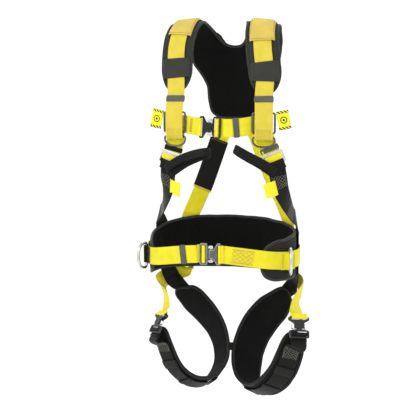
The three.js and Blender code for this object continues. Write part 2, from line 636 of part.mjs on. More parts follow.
add('belt_strap_right', ribbon(BELT_RIGHT, { from: 0.05, to: 4.97 }), YELLOW);
addKeeper('belt_keeper', BELT_RIGHT, 4.02, 16, ELASTIC);
addBuckle({
  housing: 'belt_buckle_housing',
  tongue: 'belt_buckle_tongue',
  clips: ['belt_clip_lower', 'belt_clip_upper'],
}, BELT_MOUTH, [-1, 0, 0], [0, -1, 0]);

const RING_OUT = WEB_T / 2 + GAP + BELT_D.rod;
function beltRing(name, k, toward) {
  const place = placeOn([onBelt(k - 0.3, 377, 0), onBelt(k, 377, 0), onBelt(k + 0.3, 377, 0)], 1);
  const bar = place.point.addScaledVector(place.out, RING_OUT).toArray();
  const plane = new THREE.Vector3().crossVectors(new THREE.Vector3(0, 0, 1), vec(toward));
  const frame = frameAt(bar, vec(toward).negate().toArray(), plane.toArray());
  add(name, dRing(BELT_D).rotateZ(Math.PI / 2), CHROME, frame);
}
beltRing('belt_ring_right', 1.2, [-0.3, -0.95, 0]);
beltRing('belt_ring_left', 13.05, [0.24, -0.97, 0]);

// ---- leg loops: the edge on the crotch side first, then the other edge, from the top at the back ----

const LEG = {
  right: [
    [[-131, 80, 272], [-151, 92, 262]], [[-112, 74, 274], [-165, 102, 248]],
    [[-72, 66, 256], [-143, 110, 212]],
    [[-33, 60, 214], [-101, 110, 176]], [[-13, 52, 179], [-67, 106, 135]], [[2, 38, 127], [-50, 100, 94]],
    [[3, 14, 93], [-48, 84, 59]], [[-8, -12, 70], [-58, 60, 34]], [[-28, -34, 58], [-68, 34, 17]],
    [[-60, -55, 60], [-88, 0, 19]], [[-86, -70, 77], [-114, -25, 38]], [[-108, -80, 107], [-137, -46, 69]],
    [[-122, -86, 145], [-154, -58, 109]], [[-133, -90, 182], [-163, -66, 150]],
    [[-143, -88, 208], [-163, -70, 180]],
  ],
  left: [
    [[150, 82, 272], [160, 92, 262]], [[128, 70, 277], [169, 98, 250]], [[80, 64, 252], [146, 104, 197]],
    [[50, 60, 218], [113, 100, 155]], [[28, 54, 176], [91, 94, 117]], [[17, 46, 139], [79, 86, 79]],
    [[14, 32, 89], [79, 76, 44]], [[24, 6, 60], [82, 58, 21]], [[56, -28, 42], [94, 30, 7]],
    [[89, -60, 54], [126, -4, 13]], [[122, -84, 87], [161, -38, 38]], [[146, -95, 127], [192, -62, 82]],
    [[160, -100, 168], [212, -76, 132]], [[172, -102, 198], [215, -84, 172]],
    [[182, -99, 212], [206, -90, 196]],
  ],
};
add('leg_pad_right', ribbon(fromEdges(LEG.right, 1), { thickness: LEG_T, section: padSection }), BLACK);
add('leg_pad_left', ribbon(fromEdges(LEG.left, -1), { thickness: LEG_T, section: padSection }), BLACK);
add('leg_link', box([4, 3, 14], [9.2, 36, 124]), BLACK);

addBuckle({
  housing: 'leg_buckle_right_housing',
  tongue: 'leg_buckle_right_tongue',
  clips: ['leg_clip_right_front', 'leg_clip_right_back'],
}, [-160, -86, 203], [-0.3, -0.45, -0.86], [-0.75, -0.62, 0.3]);
addBuckle({
  housing: 'leg_buckle_left_housing',
  tongue: 'leg_buckle_left_tongue',
  clips: ['leg_clip_left_front', 'leg_clip_left_back'],
}, [210, -104, 216], [0.1, -0.35, -0.93], [0.6, -0.8, 0.1]);

const hangPoint = dorsalRing.localToWorld(new THREE.Vector3(0, DORSAL_D.depth - 3 * DORSAL_D.rod, 0));
harness.position.copy(hangPoint).negate();
export default group;
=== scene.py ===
import json
import math

import bmesh
import bpy
import numpy as np
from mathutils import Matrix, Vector
from mathutils.bvhtree import BVHTree
from mathutils.kdtree import KDTree

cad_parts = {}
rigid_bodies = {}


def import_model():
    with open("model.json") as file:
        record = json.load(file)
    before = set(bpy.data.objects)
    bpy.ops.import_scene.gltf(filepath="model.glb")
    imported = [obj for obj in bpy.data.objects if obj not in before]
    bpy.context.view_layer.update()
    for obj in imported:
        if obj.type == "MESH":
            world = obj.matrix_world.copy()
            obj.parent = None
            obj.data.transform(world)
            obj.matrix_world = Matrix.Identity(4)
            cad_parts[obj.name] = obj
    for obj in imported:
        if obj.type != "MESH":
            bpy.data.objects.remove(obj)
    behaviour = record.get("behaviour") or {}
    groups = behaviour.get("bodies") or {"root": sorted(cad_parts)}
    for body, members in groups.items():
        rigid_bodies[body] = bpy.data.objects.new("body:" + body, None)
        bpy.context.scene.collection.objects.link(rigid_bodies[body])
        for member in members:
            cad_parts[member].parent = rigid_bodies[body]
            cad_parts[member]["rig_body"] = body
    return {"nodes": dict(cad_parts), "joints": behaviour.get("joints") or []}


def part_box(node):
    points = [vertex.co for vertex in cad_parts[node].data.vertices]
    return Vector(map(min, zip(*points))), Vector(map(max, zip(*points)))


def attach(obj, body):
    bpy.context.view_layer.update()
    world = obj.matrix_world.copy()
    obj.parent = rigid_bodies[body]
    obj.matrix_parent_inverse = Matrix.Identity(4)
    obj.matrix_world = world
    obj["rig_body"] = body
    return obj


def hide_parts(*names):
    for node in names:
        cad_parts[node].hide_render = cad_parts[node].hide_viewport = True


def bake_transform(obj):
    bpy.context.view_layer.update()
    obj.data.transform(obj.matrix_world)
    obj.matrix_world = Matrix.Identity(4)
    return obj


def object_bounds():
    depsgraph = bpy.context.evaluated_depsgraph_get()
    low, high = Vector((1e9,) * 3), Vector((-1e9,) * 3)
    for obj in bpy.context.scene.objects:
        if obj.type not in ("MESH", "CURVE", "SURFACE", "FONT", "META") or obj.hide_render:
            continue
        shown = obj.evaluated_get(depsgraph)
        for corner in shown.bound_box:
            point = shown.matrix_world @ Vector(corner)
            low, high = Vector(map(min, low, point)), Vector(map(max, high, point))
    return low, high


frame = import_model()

CAD_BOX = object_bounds()
NODES = frame["nodes"]
AXES = {joint["name"]: Vector(joint["axis"]) for joint in frame["joints"]}
SIDES = ("right", "left")
ROOT = "harness"

# Sizes in metres
MM = 0.001
WEB = 45 * MM  # width of the webbing
WEB_T = 2.0 * MM  # thickness of the webbing
STITCH = 0.38 * MM  # radius of the sewing thread
BOLD_STITCH = 0.55 * MM
ON_WEB = WEB_T / 2 + 0.1 * MM  # height of a stitch above the middle of the webbing
TORSO = Vector((0, -0.14, -0.3))  # a point in the middle of the wearer's trunk


# ---- routes: the middle line, width and outer side of a strap or pad, read from its CAD solid ----

def welded(*nodes):
    mesh = bmesh.new()
    for node in nodes:
        mesh.from_mesh(NODES[node].data)
    bmesh.ops.remove_doubles(mesh, verts=mesh.verts, dist=1e-6)
    return mesh


def corners_of(node):
    return np.array([v.co for v in NODES[node].data.vertices], float)


def middle_of(node):
    low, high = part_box(node)
    return (low + high) / 2


def neighbours(vert):
    return {edge.other_vert(vert) for edge in vert.link_edges}


def cad_rings(node, size, first):
    """Points of each ring of a lofted CAD node, from the end that lies furthest along `first`."""
    mesh = welded(node)
    inner_edges = 6  # edges that meet at a point inside the loft
    ends = {v for v in mesh.verts if len(v.link_edges) != inner_edges}
    group = [max(ends, key=lambda v: v.co.dot(Vector(first)))]
    for vert in group:
        group.extend(sorted((neighbours(vert) & ends) - set(group), key=lambda v: v.index))
    rings, seen = [group], set(group)
    while True:
        ahead = {o for v in rings[-1] for o in neighbours(v)} - seen
        if len(ahead) != size:
            break
        rings.append(sorted(ahead, key=lambda v: v.index))
        seen |= ahead
    points = [np.array([v.co for v in ring], float) for ring in rings]
    mesh.free()
    return points


def unit(rows):
    rows = np.asarray(rows, float)
    return rows / np.maximum(np.linalg.norm(rows, axis=-1, keepdims=True), 1e-12)


def square_to(rows, along):
    """The parts of rows that are at right angles to `along`, as unit vectors."""
    return unit(rows - np.sum(rows * along, -1, keepdims=True) * along)


def tree_of(points):
    tree = KDTree(len(points))
    for i, p in enumerate(points):
        tree.insert(p, i)
    tree.balance()
    return tree


class Route:
    """A smooth line with an outer side and a width at each length along it."""

    def __init__(self, points, out, width):
        self.points, self.out = points, unit(out)
        self.width = np.asarray(width, float)
        self.s = np.concatenate([[0], np.cumsum(np.linalg.norm(np.diff(points, axis=0), axis=1))])
        self.length = self.s[-1]
        self.slope = np.gradient(points, self.s, axis=0)

    def at(self, s):
        """Centre, along, across and out directions and width at lengths s, past the ends in a straight line."""
        s = np.atleast_1d(np.asarray(s, float))
        i = np.clip(np.searchsorted(self.s, s) - 1, 0, len(self.s) - 2)
        span = self.s[i + 1] - self.s[i]
        t = np.clip((s - self.s[i]) / span, 0, 1)[:, None]
        a, b = self.points[i], self.points[i + 1]
        ma, mb = self.slope[i] * span[:, None], self.slope[i + 1] * span[:, None]
        centre = ((2 * t**3 - 3 * t**2 + 1) * a + (t**3 - 2 * t**2 + t) * ma
                  + (-2 * t**3 + 3 * t**2) * b + (t**3 - t**2) * mb)  # a Hermite curve
        along = unit((1 - t) * self.slope[i] + t * self.slope[i + 1])
        beyond = np.where(s > self.length, s - self.length, np.minimum(s, 0))[:, None]
        out = square_to((1 - t) * self.out[i] + t * self.out[i + 1], along)
        width = (1 - t[:, 0]) * self.width[i] + t[:, 0] * self.width[i + 1]
        return centre + beyond * along, along, np.cross(along, out), out, width

    def one(self, s):
        """The same at a single length."""
        return tuple(part[0] for part in self.at(s))

    def locate(self, points):
        """Length, across and out offsets of points, by walking to the section that holds each."""
        rounds, pace = 5, 0.7
        fine = np.linspace(0, self.length, max(8, int(self.length / (4 * MM))))
        tree = tree_of(self.at(fine)[0])
        s = np.array([fine[tree.find(p)[1]] for p in points])
        for _ in range(rounds):
            centre, along = self.at(s)[:2]
            s = np.clip(s + pace * np.sum((points - centre) * along, 1), 0, self.length)
        centre, _, across, out, width = self.at(s)
        offset = points - centre
        return s, np.sum(offset * across, 1), np.sum(offset * out, 1), out, width

    def near(self, point):
        return float(self.locate(np.array([point]))[0][0])


def stops_between(start, end, step):
    return np.linspace(start, end, max(2, int(abs(end - start) / step) + 1))


def cad_route(node, size=4, first=(0, 0, 1), centre=TORSO):
    """The route of a strap (4 points a ring) or pad (8), its outer side away from `centre` at its start."""
    points, outs, widths = [], [], []
    for ring in cad_rings(node, size, first):
        middle = ring.mean(0)
        across, out, _ = np.linalg.svd(ring - middle)[2]
        usual = outs[-1] if outs else middle - np.array([centre[0], centre[1], middle[2]])
        if np.dot(out, usual) < 0:
            out = -out
        spread = (ring - middle) @ across
        points.append(middle)
        outs.append(out)
        widths.append(spread.max() - spread.min())
    return Route(np.array(points), outs, widths)


def hand_route(points, outs, width):
    """A route through given points, smoothed; `outs` are its outer sides at those points."""
    rough = Route(np.array(points, float), np.array(outs, float), [width] * len(points))
    s = stops_between(0, rough.length, 1 * MM)
    centre, _, _, out, _ = rough.at(s)
    return Route(centre, out, [width] * len(s))


# ---- meshes ----

def linked(name, data):
    """An object in the scene, from mesh, camera or light data."""
    obj = bpy.data.objects.new(name, data)
    bpy.context.scene.collection.objects.link(obj)
    return obj


def mesh_object(name, mesh):
    """An object from a bmesh, which is freed."""
    data = bpy.data.meshes.new(name)
    mesh.to_mesh(data)
    mesh.free()
    return linked(name, data)


def new_object(name, verts, faces, uvs=None, smooth=True):
    """An object from points and faces; `uvs` gives one pair of metres per point."""
    data = bpy.data.meshes.new(name)
    data.from_pydata([tuple(v) for v in verts], [], [tuple(f) for f in faces])
    data.validate()
    if uvs is not None:
        layer = data.uv_layers.new(name="weave")
        index = np.zeros(len(data.loops), int)
        data.loops.foreach_get("vertex_index", index)
        layer.data.foreach_set("uv", np.asarray(uvs, float)[index].ravel())
    data.polygons.foreach_set("use_smooth", [smooth] * len(data.polygons))
    mesh = bmesh.new()
    mesh.from_mesh(data)
    bmesh.ops.recalc_face_normals(mesh, faces=mesh.faces)
    mesh.to_mesh(data)
    mesh.free()
    return linked(name, data)


def joins(here, ahead, size):
    """Faces between two closed rings of `size` points that start at `here` and `ahead`."""
    return [(here + j, here + (j + 1) % size, ahead + (j + 1) % size, ahead + j) for j in range(size)]


def tube_faces(rings, size, closed=False):
    faces = []
    for i in range(rings if closed else rings - 1):
        faces += joins(i * size, (i + 1) % rings * size, size)
    if not closed:
        faces.append(tuple(range(size - 1, -1, -1)))
        faces.append(tuple(range((rings - 1) * size, rings * size)))
    return faces


def round_corners(width, height, corner, inset=0.0):
    """Outline of a rectangle with round corners, drawn in by `inset`."""
    return [(cx * (width / 2 - corner) + (corner - inset) * math.cos(angle),
             cy * (height / 2 - corner) + (corner - inset) * math.sin(angle))
            for cx, cy, start in ((1, 1, 0), (-1, 1, 90), (-1, -1, 180), (1, -1, 270))
            for angle in np.radians(np.linspace(start, start + 90, 5))]


def web_section(width, thickness, columns=9):
    """Outline of woven webbing: flat faces, a groove inside each selvedge and rounded edges."""
    half, t = width / 2, thickness / 2
    xs = np.linspace(-half + 0.9 * t, half - 0.9 * t, columns)
    ys = np.full(columns, t)
    ys[1] = ys[-2] = 0.86 * t
    top = list(zip(xs, ys))
    bottom = [(-x, -y) for x, y in top]
    return top + [(half - 0.25 * t, 0.62 * t), (half, 0), (half - 0.25 * t, -0.62 * t)] \
        + bottom + [(-half + 0.25 * t, -0.62 * t), (-half, 0), (-half + 0.25 * t, 0.62 * t)]


def finish_piece(obj, material, body, replaces=()):
    """Material, CAD body and replaced CAD nodes of a finished piece."""
    for one in material if isinstance(material, (list, tuple)) else [material]:
        obj.data.materials.append(one)
    if body:
        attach(obj, body)
    if replaces:
        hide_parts(*replaces)
    return obj


def ribbon(name, route, start=0.0, end=None, width=None, thickness=WEB_T, lift=0.0, step=4 * MM,
           section=web_section, drop=0.0, ripple=0.15 * MM):
    """Webbing along a route. `drop` lowers the long edges, as on a cover that is sewn down over a strap."""
    level_part = 0.72  # share of the width that `drop` leaves level
    s = stops_between(start, route.length if end is None else end, step)
    centre, _, across, out, widths = route.at(s)
    verts, uvs = [], []
    for i, here in enumerate(s):
        w = width or widths[i]
        wave = ripple * (math.sin(here * 61 + 1.3) + 0.6 * math.sin(here * 143))
        for x, y in section(w, thickness):
            fall = drop * max(0.0, (abs(x) / (w / 2) - level_part) / (1 - level_part)) ** 1.6
            verts.append(centre[i] + across[i] * x + out[i] * (y + lift + wave - fall))
            uvs.append((x, here))
    size = len(section(WEB, thickness))
    return new_object(name, verts, tube_faces(len(s), size), uvs)


def sweep(name, points, outs, width, thickness, sides=12):
    """A closed flattened tube along points, `width` in the surface and `thickness` along `outs`."""
    points = np.asarray(points, float)
    ahead = np.roll(points, -1, 0)
    along = unit(ahead - np.roll(points, 1, 0))
    s = np.concatenate([[0], np.cumsum(np.linalg.norm(ahead - points, axis=1))[:-1]])
    outs = square_to(unit(outs), along)
    across = np.cross(along, outs)
    verts, uvs = [], []
    for i in range(len(points)):
        for j in range(sides):
            angle = 2 * math.pi * j / sides
            c, d = math.cos(angle), math.sin(angle)
            verts.append(points[i] + across[i] * c * width / 2 + outs[i] * d * thickness / 2)
            uvs.append((c * width / 2, s[i]))
    return new_object(name, verts, tube_faces(len(points), sides, True), uvs)


def thread(name, dashes, radius=STITCH, sides=5):
    """Stitches: each dash is (start, end, normal) and lies as a small bow on the surface."""
    verts, faces = [], []
    stations = ((0.0, -0.7, 0.45), (0.2, 0.35, 1.0), (0.8, 0.35, 1.0), (1.0, -0.7, 0.45))  # share, height, size
    for start, end, normal in dashes:
        along = unit(end - start)
        side = unit(np.cross(along, normal))
        base = len(verts)
        for t, height, scale in stations:
            middle = start + (end - start) * t + normal * height * radius
            for j in range(sides):
                angle = 2 * math.pi * j / sides
                verts.append(middle + (side * math.cos(angle) + normal * math.sin(angle)) * radius * scale)
        faces += [tuple(base + v for v in face) for face in tube_faces(len(stations), sides)]
    return new_object(name, verts, faces)


def dashes_on(route, lines, lift, pitch):
    """Dashes along lines given as (length, across) points on a route, at a height above its middle."""
    fill = 0.8  # share of the pitch that a dash takes
    found = []
    for line in lines:
        for (s0, x0), (s1, x1) in zip(line[:-1], line[1:]):
            count = max(1, round(math.hypot(s1 - s0, x1 - x0) / pitch))
            ends = []
            for t in (np.arange(count) / count, np.arange(count) / count + fill / count):
                centre, _, across, out, _ = route.at(s0 + (s1 - s0) * t)
                ends.append((centre + across * (x0 + (x1 - x0) * t)[:, None] + out * lift, out))
            found += zip(ends[0][0], ends[1][0], ends[0][1])
    return found


# ---- materials ----

class Shader:
    """A material built from nodes, with short calls for what the cloth and metal here need."""

    def __init__(self, name, roughness, metallic=0.0, sheen=0.0, coat=0.0, specular=0.3):
        self.material = bpy.data.materials.new(name)
        self.material.use_nodes = True
        self.tree = self.material.node_tree
        self.main = self.tree.nodes["Principled BSDF"]
        for socket, value in (("Roughness", roughness), ("Metallic", metallic), ("Sheen Weight", sheen),
                              ("Sheen Roughness", 0.4), ("Coat Weight", coat), ("Specular IOR Level", specular)):
            self.main.inputs[socket].default_value = value

    def node(self, kind, inputs=(), **settings):
        node = self.tree.nodes.new(kind)
        for key, value in settings.items():
            setattr(node, key, value)
        for key, value in dict(inputs).items():
            if isinstance(value, bpy.types.NodeSocket):
                self.tree.links.new(value, node.inputs[key])
            else:
                node.inputs[key].default_value = value
        return node

    def math(self, operation, *values):
        return self.node("ShaderNodeMath", enumerate(values), operation=operation).outputs[0]

    def times(self, a, b):
        return self.math("MULTIPLY", a, b)

    def sum(self, a, b):
        return self.math("ADD", a, b)

    def less(self, a, b):
        return self.math("SUBTRACT", a, b)

    def place(self):
        return self.node("ShaderNodeTexCoord").outputs["Object"]

    def lengths(self):
        """The two lengths in metres that ribbon() and pads store, across and along, as one vector."""
        return self.node("ShaderNodeUVMap", uv_map="weave").outputs[0]

    def uv(self):
        """The same two lengths, apart."""
        return self.node("ShaderNodeSeparateXYZ", {0: self.lengths()}).outputs[:2]

    def wave(self, value, period, phase=0.0):
        """A sine from 0 to 1 of a length."""
        turned = self.math("MULTIPLY_ADD", value, 2 * math.pi / period, phase)
        return self.math("MULTIPLY_ADD", self.math("SINE", turned), 0.5, 0.5)

    def noise(self, scale, detail=3.0, vector=None):
        inputs = {"Vector": vector or self.place(), "Scale": scale, "Detail": detail}
        return self.node("ShaderNodeTexNoise", inputs).outputs["Fac"]

    def ramp(self, value, *stops):
        """A colour for a value, from two stops of (value, colour)."""
        node = self.node("ShaderNodeValToRGB", {"Fac": value})
        for element, (place, colour) in zip(node.color_ramp.elements, stops):
            element.position = place
            element.color = (*colour, 1)
        return node.outputs["Color"]

    def uneven(self, value, colour, low, high):
        """A colour that is darker and lighter with a value: `low` and `high` are (value, brightness)."""
        return self.ramp(value, *((place, shade(colour, factor)) for place, factor in (low, high)))

    def mix(self, factor, a, b):
        a, b = (v if isinstance(v, bpy.types.NodeSocket) else (*v, 1) for v in (a, b))
        return self.node("ShaderNodeMix", {0: factor, 6: a, 7: b}, data_type="RGBA").outputs[2]

    def with_groove_shade(self, height, contrast, colour, dark):
        """A colour with painted shade: it darkens where the weave is low."""
        return self.mix(self.times(self.less(1.0, height), contrast), colour, dark)

    def done(self, colour, height=None, distance=0.1 * MM, rough=None):
        bump = None
        if height is not None:
            bump = self.node("ShaderNodeBump", {"Height": height, "Distance": distance, "Strength": 1.0}).outputs[0]
        for name, socket in (("Base Color", colour), ("Roughness", rough), ("Normal", bump)):
            if socket is not None:
                self.tree.links.new(socket, self.main.inputs[name])
        return self.material


class Cloth(Shader):
    """A woven or knitted material, which hardly mirrors anything."""

    def __init__(self, name, roughness, sheen):
        super().__init__(name, roughness, sheen=sheen, specular=0.12)


def shade(colour, factor):
    return tuple(min(1.0, c * factor) for c in colour)


def webbing_material(name, colour, roughness=0.62, sheen=0.2, contrast=0.16):
    """Woven webbing: diagonal twill across lengthwise ribs, painted shade in each hollow of the weave, uneven dye and
    worn selvedges.
    """
    m = Cloth(name, roughness, sheen)
    u, v = m.uv()
    stripe, twill_rib, rib, soil = 11 * MM, 1.5 * MM, 2.1 * MM, 0.08
    half = m.math("GREATER_THAN", m.wave(u, stripe), 0.5)
    twill = m.sum(m.times(m.wave(m.sum(u, v), twill_rib), half),
                  m.times(m.wave(m.less(u, v), twill_rib), m.less(1.0, half)))
    height = m.sum(m.times(twill, 0.65), m.times(m.wave(u, rib), 0.35))
    fine = m.noise(420, 2)
    base = m.uneven(m.noise(38, 4), colour, (0.3, 1 - soil), (0.62, 1 + soil * 0.6))
    # painted shade: the colour darkens where the twill and ribs are low
    weave_shade = m.with_groove_shade(height, contrast, base, shade(colour, 0.45))
    fuzz = m.mix(m.times(fine, 0.12), weave_shade, shade(colour, 1.12))
    edge = m.math("GREATER_THAN", m.math("ABSOLUTE", u), 20.6 * MM)
    worn = m.mix(m.times(edge, 0.25), fuzz, shade(colour, 0.8))
    return m.done(worn, height, 0.16 * MM, m.math("MULTIPLY_ADD", fine, 0.2, roughness - 0.1))


def canvas_material(name, colour, thread=1.2 * MM, contrast=0.3, sheen=0.05):
    """Plain woven cover fabric: over-and-under threads both ways, with slubs, uneven dye and painted shade where the
    weave is low.
    """
    m = Cloth(name, 0.8, sheen)
    u, v = m.uv()
    cross = m.times(m.less(m.wave(u, thread), 0.5), m.less(m.wave(v, thread), 0.5))
    height = m.math("MULTIPLY_ADD", cross, 2.0, 0.5)
    slub = m.noise(300, 2)
    base = m.uneven(m.noise(26, 4), colour, (0.3, 0.9), (0.65, 1.1))
    # painted shade: the colour darkens where the weave is low
    dark = m.with_groove_shade(height, contrast, base, shade(colour, 0.5))
    return m.done(m.mix(m.times(slub, 0.15), dark, shade(colour, 1.25)), m.sum(height, m.times(slub, 0.4)), 0.2 * MM)


def mesh_material(name, colour):
    """Spacer mesh: rows of small holes in a soft knitted face, the holes painted near black as painted shade."""
    m = Cloth(name, 0.85, 0.02)
    u, v = m.uv()
    period = 2.6 * MM
    rows = [m.times(m.wave(u, period, phase), m.wave(v, period * 1.2, phase)) for phase in (0.0, math.pi)]
    hole_depth_and_shade = m.ramp(m.math("SMOOTH_MAX", *rows, 0.1), (0.45, (1, 1, 1)), (0.75, (0, 0, 0)))
    face = m.uneven(m.noise(22, 4), colour, (0.35, 0.8), (0.65, 1.25))
    lit = m.mix(m.times(m.noise(500, 2), 0.3), face, shade(colour, 1.7))
    # painted shade: the holes are drawn near black, as the shade inside them
    return m.done(m.mix(hole_depth_and_shade, shade(colour, 0.25), lit), hole_depth_and_shade, 0.4 * MM)


def ribbed_material(name, colour, period=1.5 * MM, across=False, roughness=0.6, sheen=0.1):
    """Grosgrain tape or elastic: ribs across its length or along it, with painted shade between the ribs."""
    m = Cloth(name, roughness, sheen)
    u, v = m.uv()
    height = m.sum(m.times(m.wave(v if across else u, period), 0.8),
                   m.times(m.wave(u if across else v, period * 0.7), 0.2))
    base = m.uneven(m.noise(40, 3), colour, (0.3, 0.85), (0.7, 1.15))
    # painted shade: the colour darkens between the ribs
    return m.done(m.with_groove_shade(height, 0.35, base, shade(colour, 0.4)), height, 0.25 * MM)


def metal_material(name, colour, roughness, metallic=1.0, edge_rub_and_highlight_colour=(0.85, 0.85, 0.83), edges=0.35):
    """Forged or pressed steel: uneven polish, fine scratches, and pointed edges painted lighter, partly as worn metal
    and partly as a painted edge highlight.
    """
    m = Shader(name, roughness, metallic=metallic)
    scratched = m.node("ShaderNodeMapping", {"Vector": m.place(), "Scale": (900, 70, 70)}).outputs[0]
    scratch, cloud = m.noise(1.0, 2, scratched), m.noise(55, 5)
    point = m.node("ShaderNodeNewGeometry").outputs["Pointiness"]
    # pointed edges painted lighter: partly worn metal, partly a painted edge highlight
    edge_rub_and_highlight = m.times(m.times(m.ramp(point, (0.5, (0, 0, 0)), (0.6, (1, 1, 1))), m.noise(140, 3)), edges * 2)
    base = m.uneven(cloud, colour, (0.35, 0.86), (0.65, 1.1))
    rough = m.sum(m.math("MULTIPLY_ADD", cloud, 0.22, roughness - 0.11), m.times(scratch, 0.06))
    height = m.sum(m.times(cloud, 0.5), m.times(scratch, 0.5))
    return m.done(m.mix(edge_rub_and_highlight, base, edge_rub_and_highlight_colour), height, 0.05 * MM, rough)


def thread_material(name, colour):
    """Twisted sewing thread."""
    m = Shader(name, 0.5, sheen=0.3)
    ply = m.noise(1500, 2)
    return m.done(m.uneven(ply, colour, (0.35, 0.65), (0.65, 1.2)), ply, 0.08 * MM)


def film_material(name, colour, marks=False):
    """Printed label film; with marks it has two rows of slanting bars and a plain ring, and no lettering."""
    m = Shader(name, 0.42, coat=0.15)
    crease = m.noise(60, 4)
    base = m.uneven(crease, colour, (0.3, 0.93), (0.7, 1.04))
    if marks:
        u, v = m.uv()
        row = m.math("GREATER_THAN", m.math("ABSOLUTE", v), 16.5 * MM)
        bars = m.math("GREATER_THAN", m.wave(m.sum(u, v), 8.4 * MM), 0.42)
        radius = m.node("ShaderNodeVectorMath", {0: m.lengths()}, operation="LENGTH").outputs["Value"]
        ring = m.math("COMPARE", radius, 7.6 * MM, 1.15 * MM)
        dot = m.math("LESS_THAN", radius, 3.0 * MM)
        ink = m.math("MAXIMUM", m.times(row, bars), m.math("MAXIMUM", ring, dot))
        base = m.mix(ink, base, (0.012, 0.012, 0.012))
    return m.done(base, crease, 0.3 * MM)


YELLOW = webbing_material("yellow_webbing", (0.8, 0.715, 0.022), contrast=0.3)
WARM_YELLOW = webbing_material("warm_yellow_webbing", (0.7, 0.57, 0.06), contrast=0.3)
BLACK_WEB = webbing_material("black_webbing", (0.0075, 0.0075, 0.007), roughness=0.5, sheen=0.02, contrast=0.4)
LOOP_WEB = webbing_material("satin_black_webbing", (0.006, 0.006, 0.0055), roughness=0.34, sheen=0.03)
SLEEVE = canvas_material("sleeve_fabric", (0.66, 0.5, 0.105), 1.1 * MM, 0.25, sheen=0.15)
YOKE = canvas_material("pad_fabric", (0.036, 0.037, 0.03), 1.3 * MM, 0.5)
BELT_FABRIC = canvas_material("belt_fabric", (0.02, 0.02, 0.019), contrast=0.5)
BLACK_CANVAS = canvas_material("leg_cover_fabric", (0.008, 0.008, 0.0075), contrast=0.4, sheen=0.02)
BAND = canvas_material("band_fabric", (0.042, 0.043, 0.036), 0.9 * MM, 0.4)
LABEL = canvas_material("label_cover", (0.009, 0.009, 0.009), 1.0 * MM, sheen=0.02)
MESH = mesh_material("spacer_mesh", (0.0042, 0.0042, 0.0042))
BINDING = ribbed_material("binding_tape", (0.034, 0.035, 0.031), 1.8 * MM, across=True)
LEG_BINDING = ribbed_material("leg_binding_tape", (0.015, 0.015, 0.0145), 1.8 * MM, across=True, sheen=0.08)
SHINY_BINDING = ribbed_material("satin_binding_tape", (0.032, 0.032, 0.033), across=True, roughness=0.36)
ELASTIC = ribbed_material("elastic", (0.115, 0.115, 0.108))
DARK_ELASTIC = ribbed_material("dark_elastic", (0.011, 0.011, 0.0105), sheen=0.05)
WIDE_ELASTIC = ribbed_material("wide_elastic", (0.015, 0.0155, 0.014), 1.9 * MM, sheen=0.05)
BRIGHT = metal_material("bright_steel", (0.66, 0.66, 0.64), 0.2, edges=0.1)
GREY_METAL = metal_material("side_adjuster_steel", (0.62, 0.62, 0.61), 0.32, edges=0.1)
DARK = metal_material("dark_steel", (0.075, 0.073, 0.082), 0.3, 0.9)
DARK_GUNMETAL = metal_material("dark_gunmetal", (0.05, 0.05, 0.047), 0.34, 0.9)
GUNMETAL = metal_material("gunmetal", (0.15, 0.15, 0.14), 0.28, 0.95, edges=0.5)
BLACK_METAL = metal_material("black_coated_steel", (0.009, 0.009, 0.01), 0.27, 0.1, (0.12, 0.12, 0.12), 0.22)
PLASTIC = metal_material("moulded_plastic", (0.014, 0.014, 0.014), 0.5, 0.0, edge_rub_and_highlight_colour=(0.06, 0.06, 0.06))
BROWN_THREAD = thread_material("brown_thread", (0.35, 0.17, 0.06))
PINK_THREAD = thread_material("pink_thread", (0.5, 0.25, 0.14))
OCHRE_THREAD = thread_material("ochre_thread", (0.5, 0.4, 0.03))
GREY_THREAD = thread_material("grey_thread", (0.3, 0.3, 0.24))
BLACK_THREAD = thread_material("black_thread", (0.012, 0.012, 0.012))
DARK_GREY_THREAD = thread_material("dark_grey_thread", (0.05, 0.05, 0.045))
TAG = film_material("tag_film", (0.8, 0.77, 0.008), marks=True)
PLAIN_TAG = film_material("plain_tag", (0.8, 0.76, 0.01))
HEM = film_material("hem_tape", (0.6, 0.48, 0.03))


# ---- camera, light and floor ----

def look(obj, aim, azimuth, elevation, distance):
    a, e = math.radians(azimuth), math.radians(elevation)
    back = Vector((math.sin(a) * math.cos(e), -math.cos(a) * math.cos(e), math.sin(e)))
    obj.location = Vector(aim) + back * distance
    obj.rotation_euler = (-back).to_track_quat("-Z", "Y").to_euler()


def make_camera():
    camera = linked("camera", bpy.data.cameras.new("camera"))
    camera.data.lens = 105.0
    camera.data.sensor_width = 36.0
    camera.data.clip_end = 100
    look(camera, aim=(-0.0646, -0.1872, -0.3243), azimuth=13.28, elevation=7.3, distance=3.0)
    bpy.context.scene.camera = camera


def area_light(name, azimuth, elevation, distance, size, power):
    data = bpy.data.lights.new(name, "AREA")
    data.shape = "DISK"
    data.size = size
    data.energy = power
    look(linked(name, data), (0, -0.15, -0.4), azimuth, elevation, distance)


def make_stage():
    """A plain pale floor well below the hanging harness, a white world and soft lights."""
    floor_z = CAD_BOX[0].z - 0.75
    far = 12.0
    corners = [(x, y, floor_z) for x, y in ((-far, -far), (far, -far), (far, far), (-far, far))]
    floor = new_object("floor", corners, [(0, 1, 2, 3)], smooth=False)
    m = Shader("floor", 0.9)
    floor.data.materials.append(m.done(m.ramp(m.noise(1.5), (0.3, (0.93, 0.93, 0.93)), (0.7, (0.96, 0.96, 0.96)))))
    world = bpy.data.worlds.new("studio")
    world.use_nodes = True
    background = world.node_tree.nodes["Background"].inputs
    background["Color"].default_value = (1, 1, 1, 1)
    background["Strength"].default_value = 1.09
    bpy.context.scene.world = world
    area_light("key", -28, 32, 3.2, size=1.4, power=26)
    area_light("fill", 55, 18, 3.4, size=2.2, power=8)
    area_light("rim", 190, 40, 3.4, size=2.0, power=16)
    settings = bpy.context.scene.view_settings
    settings.view_transform = "Standard"
    settings.look = "None"


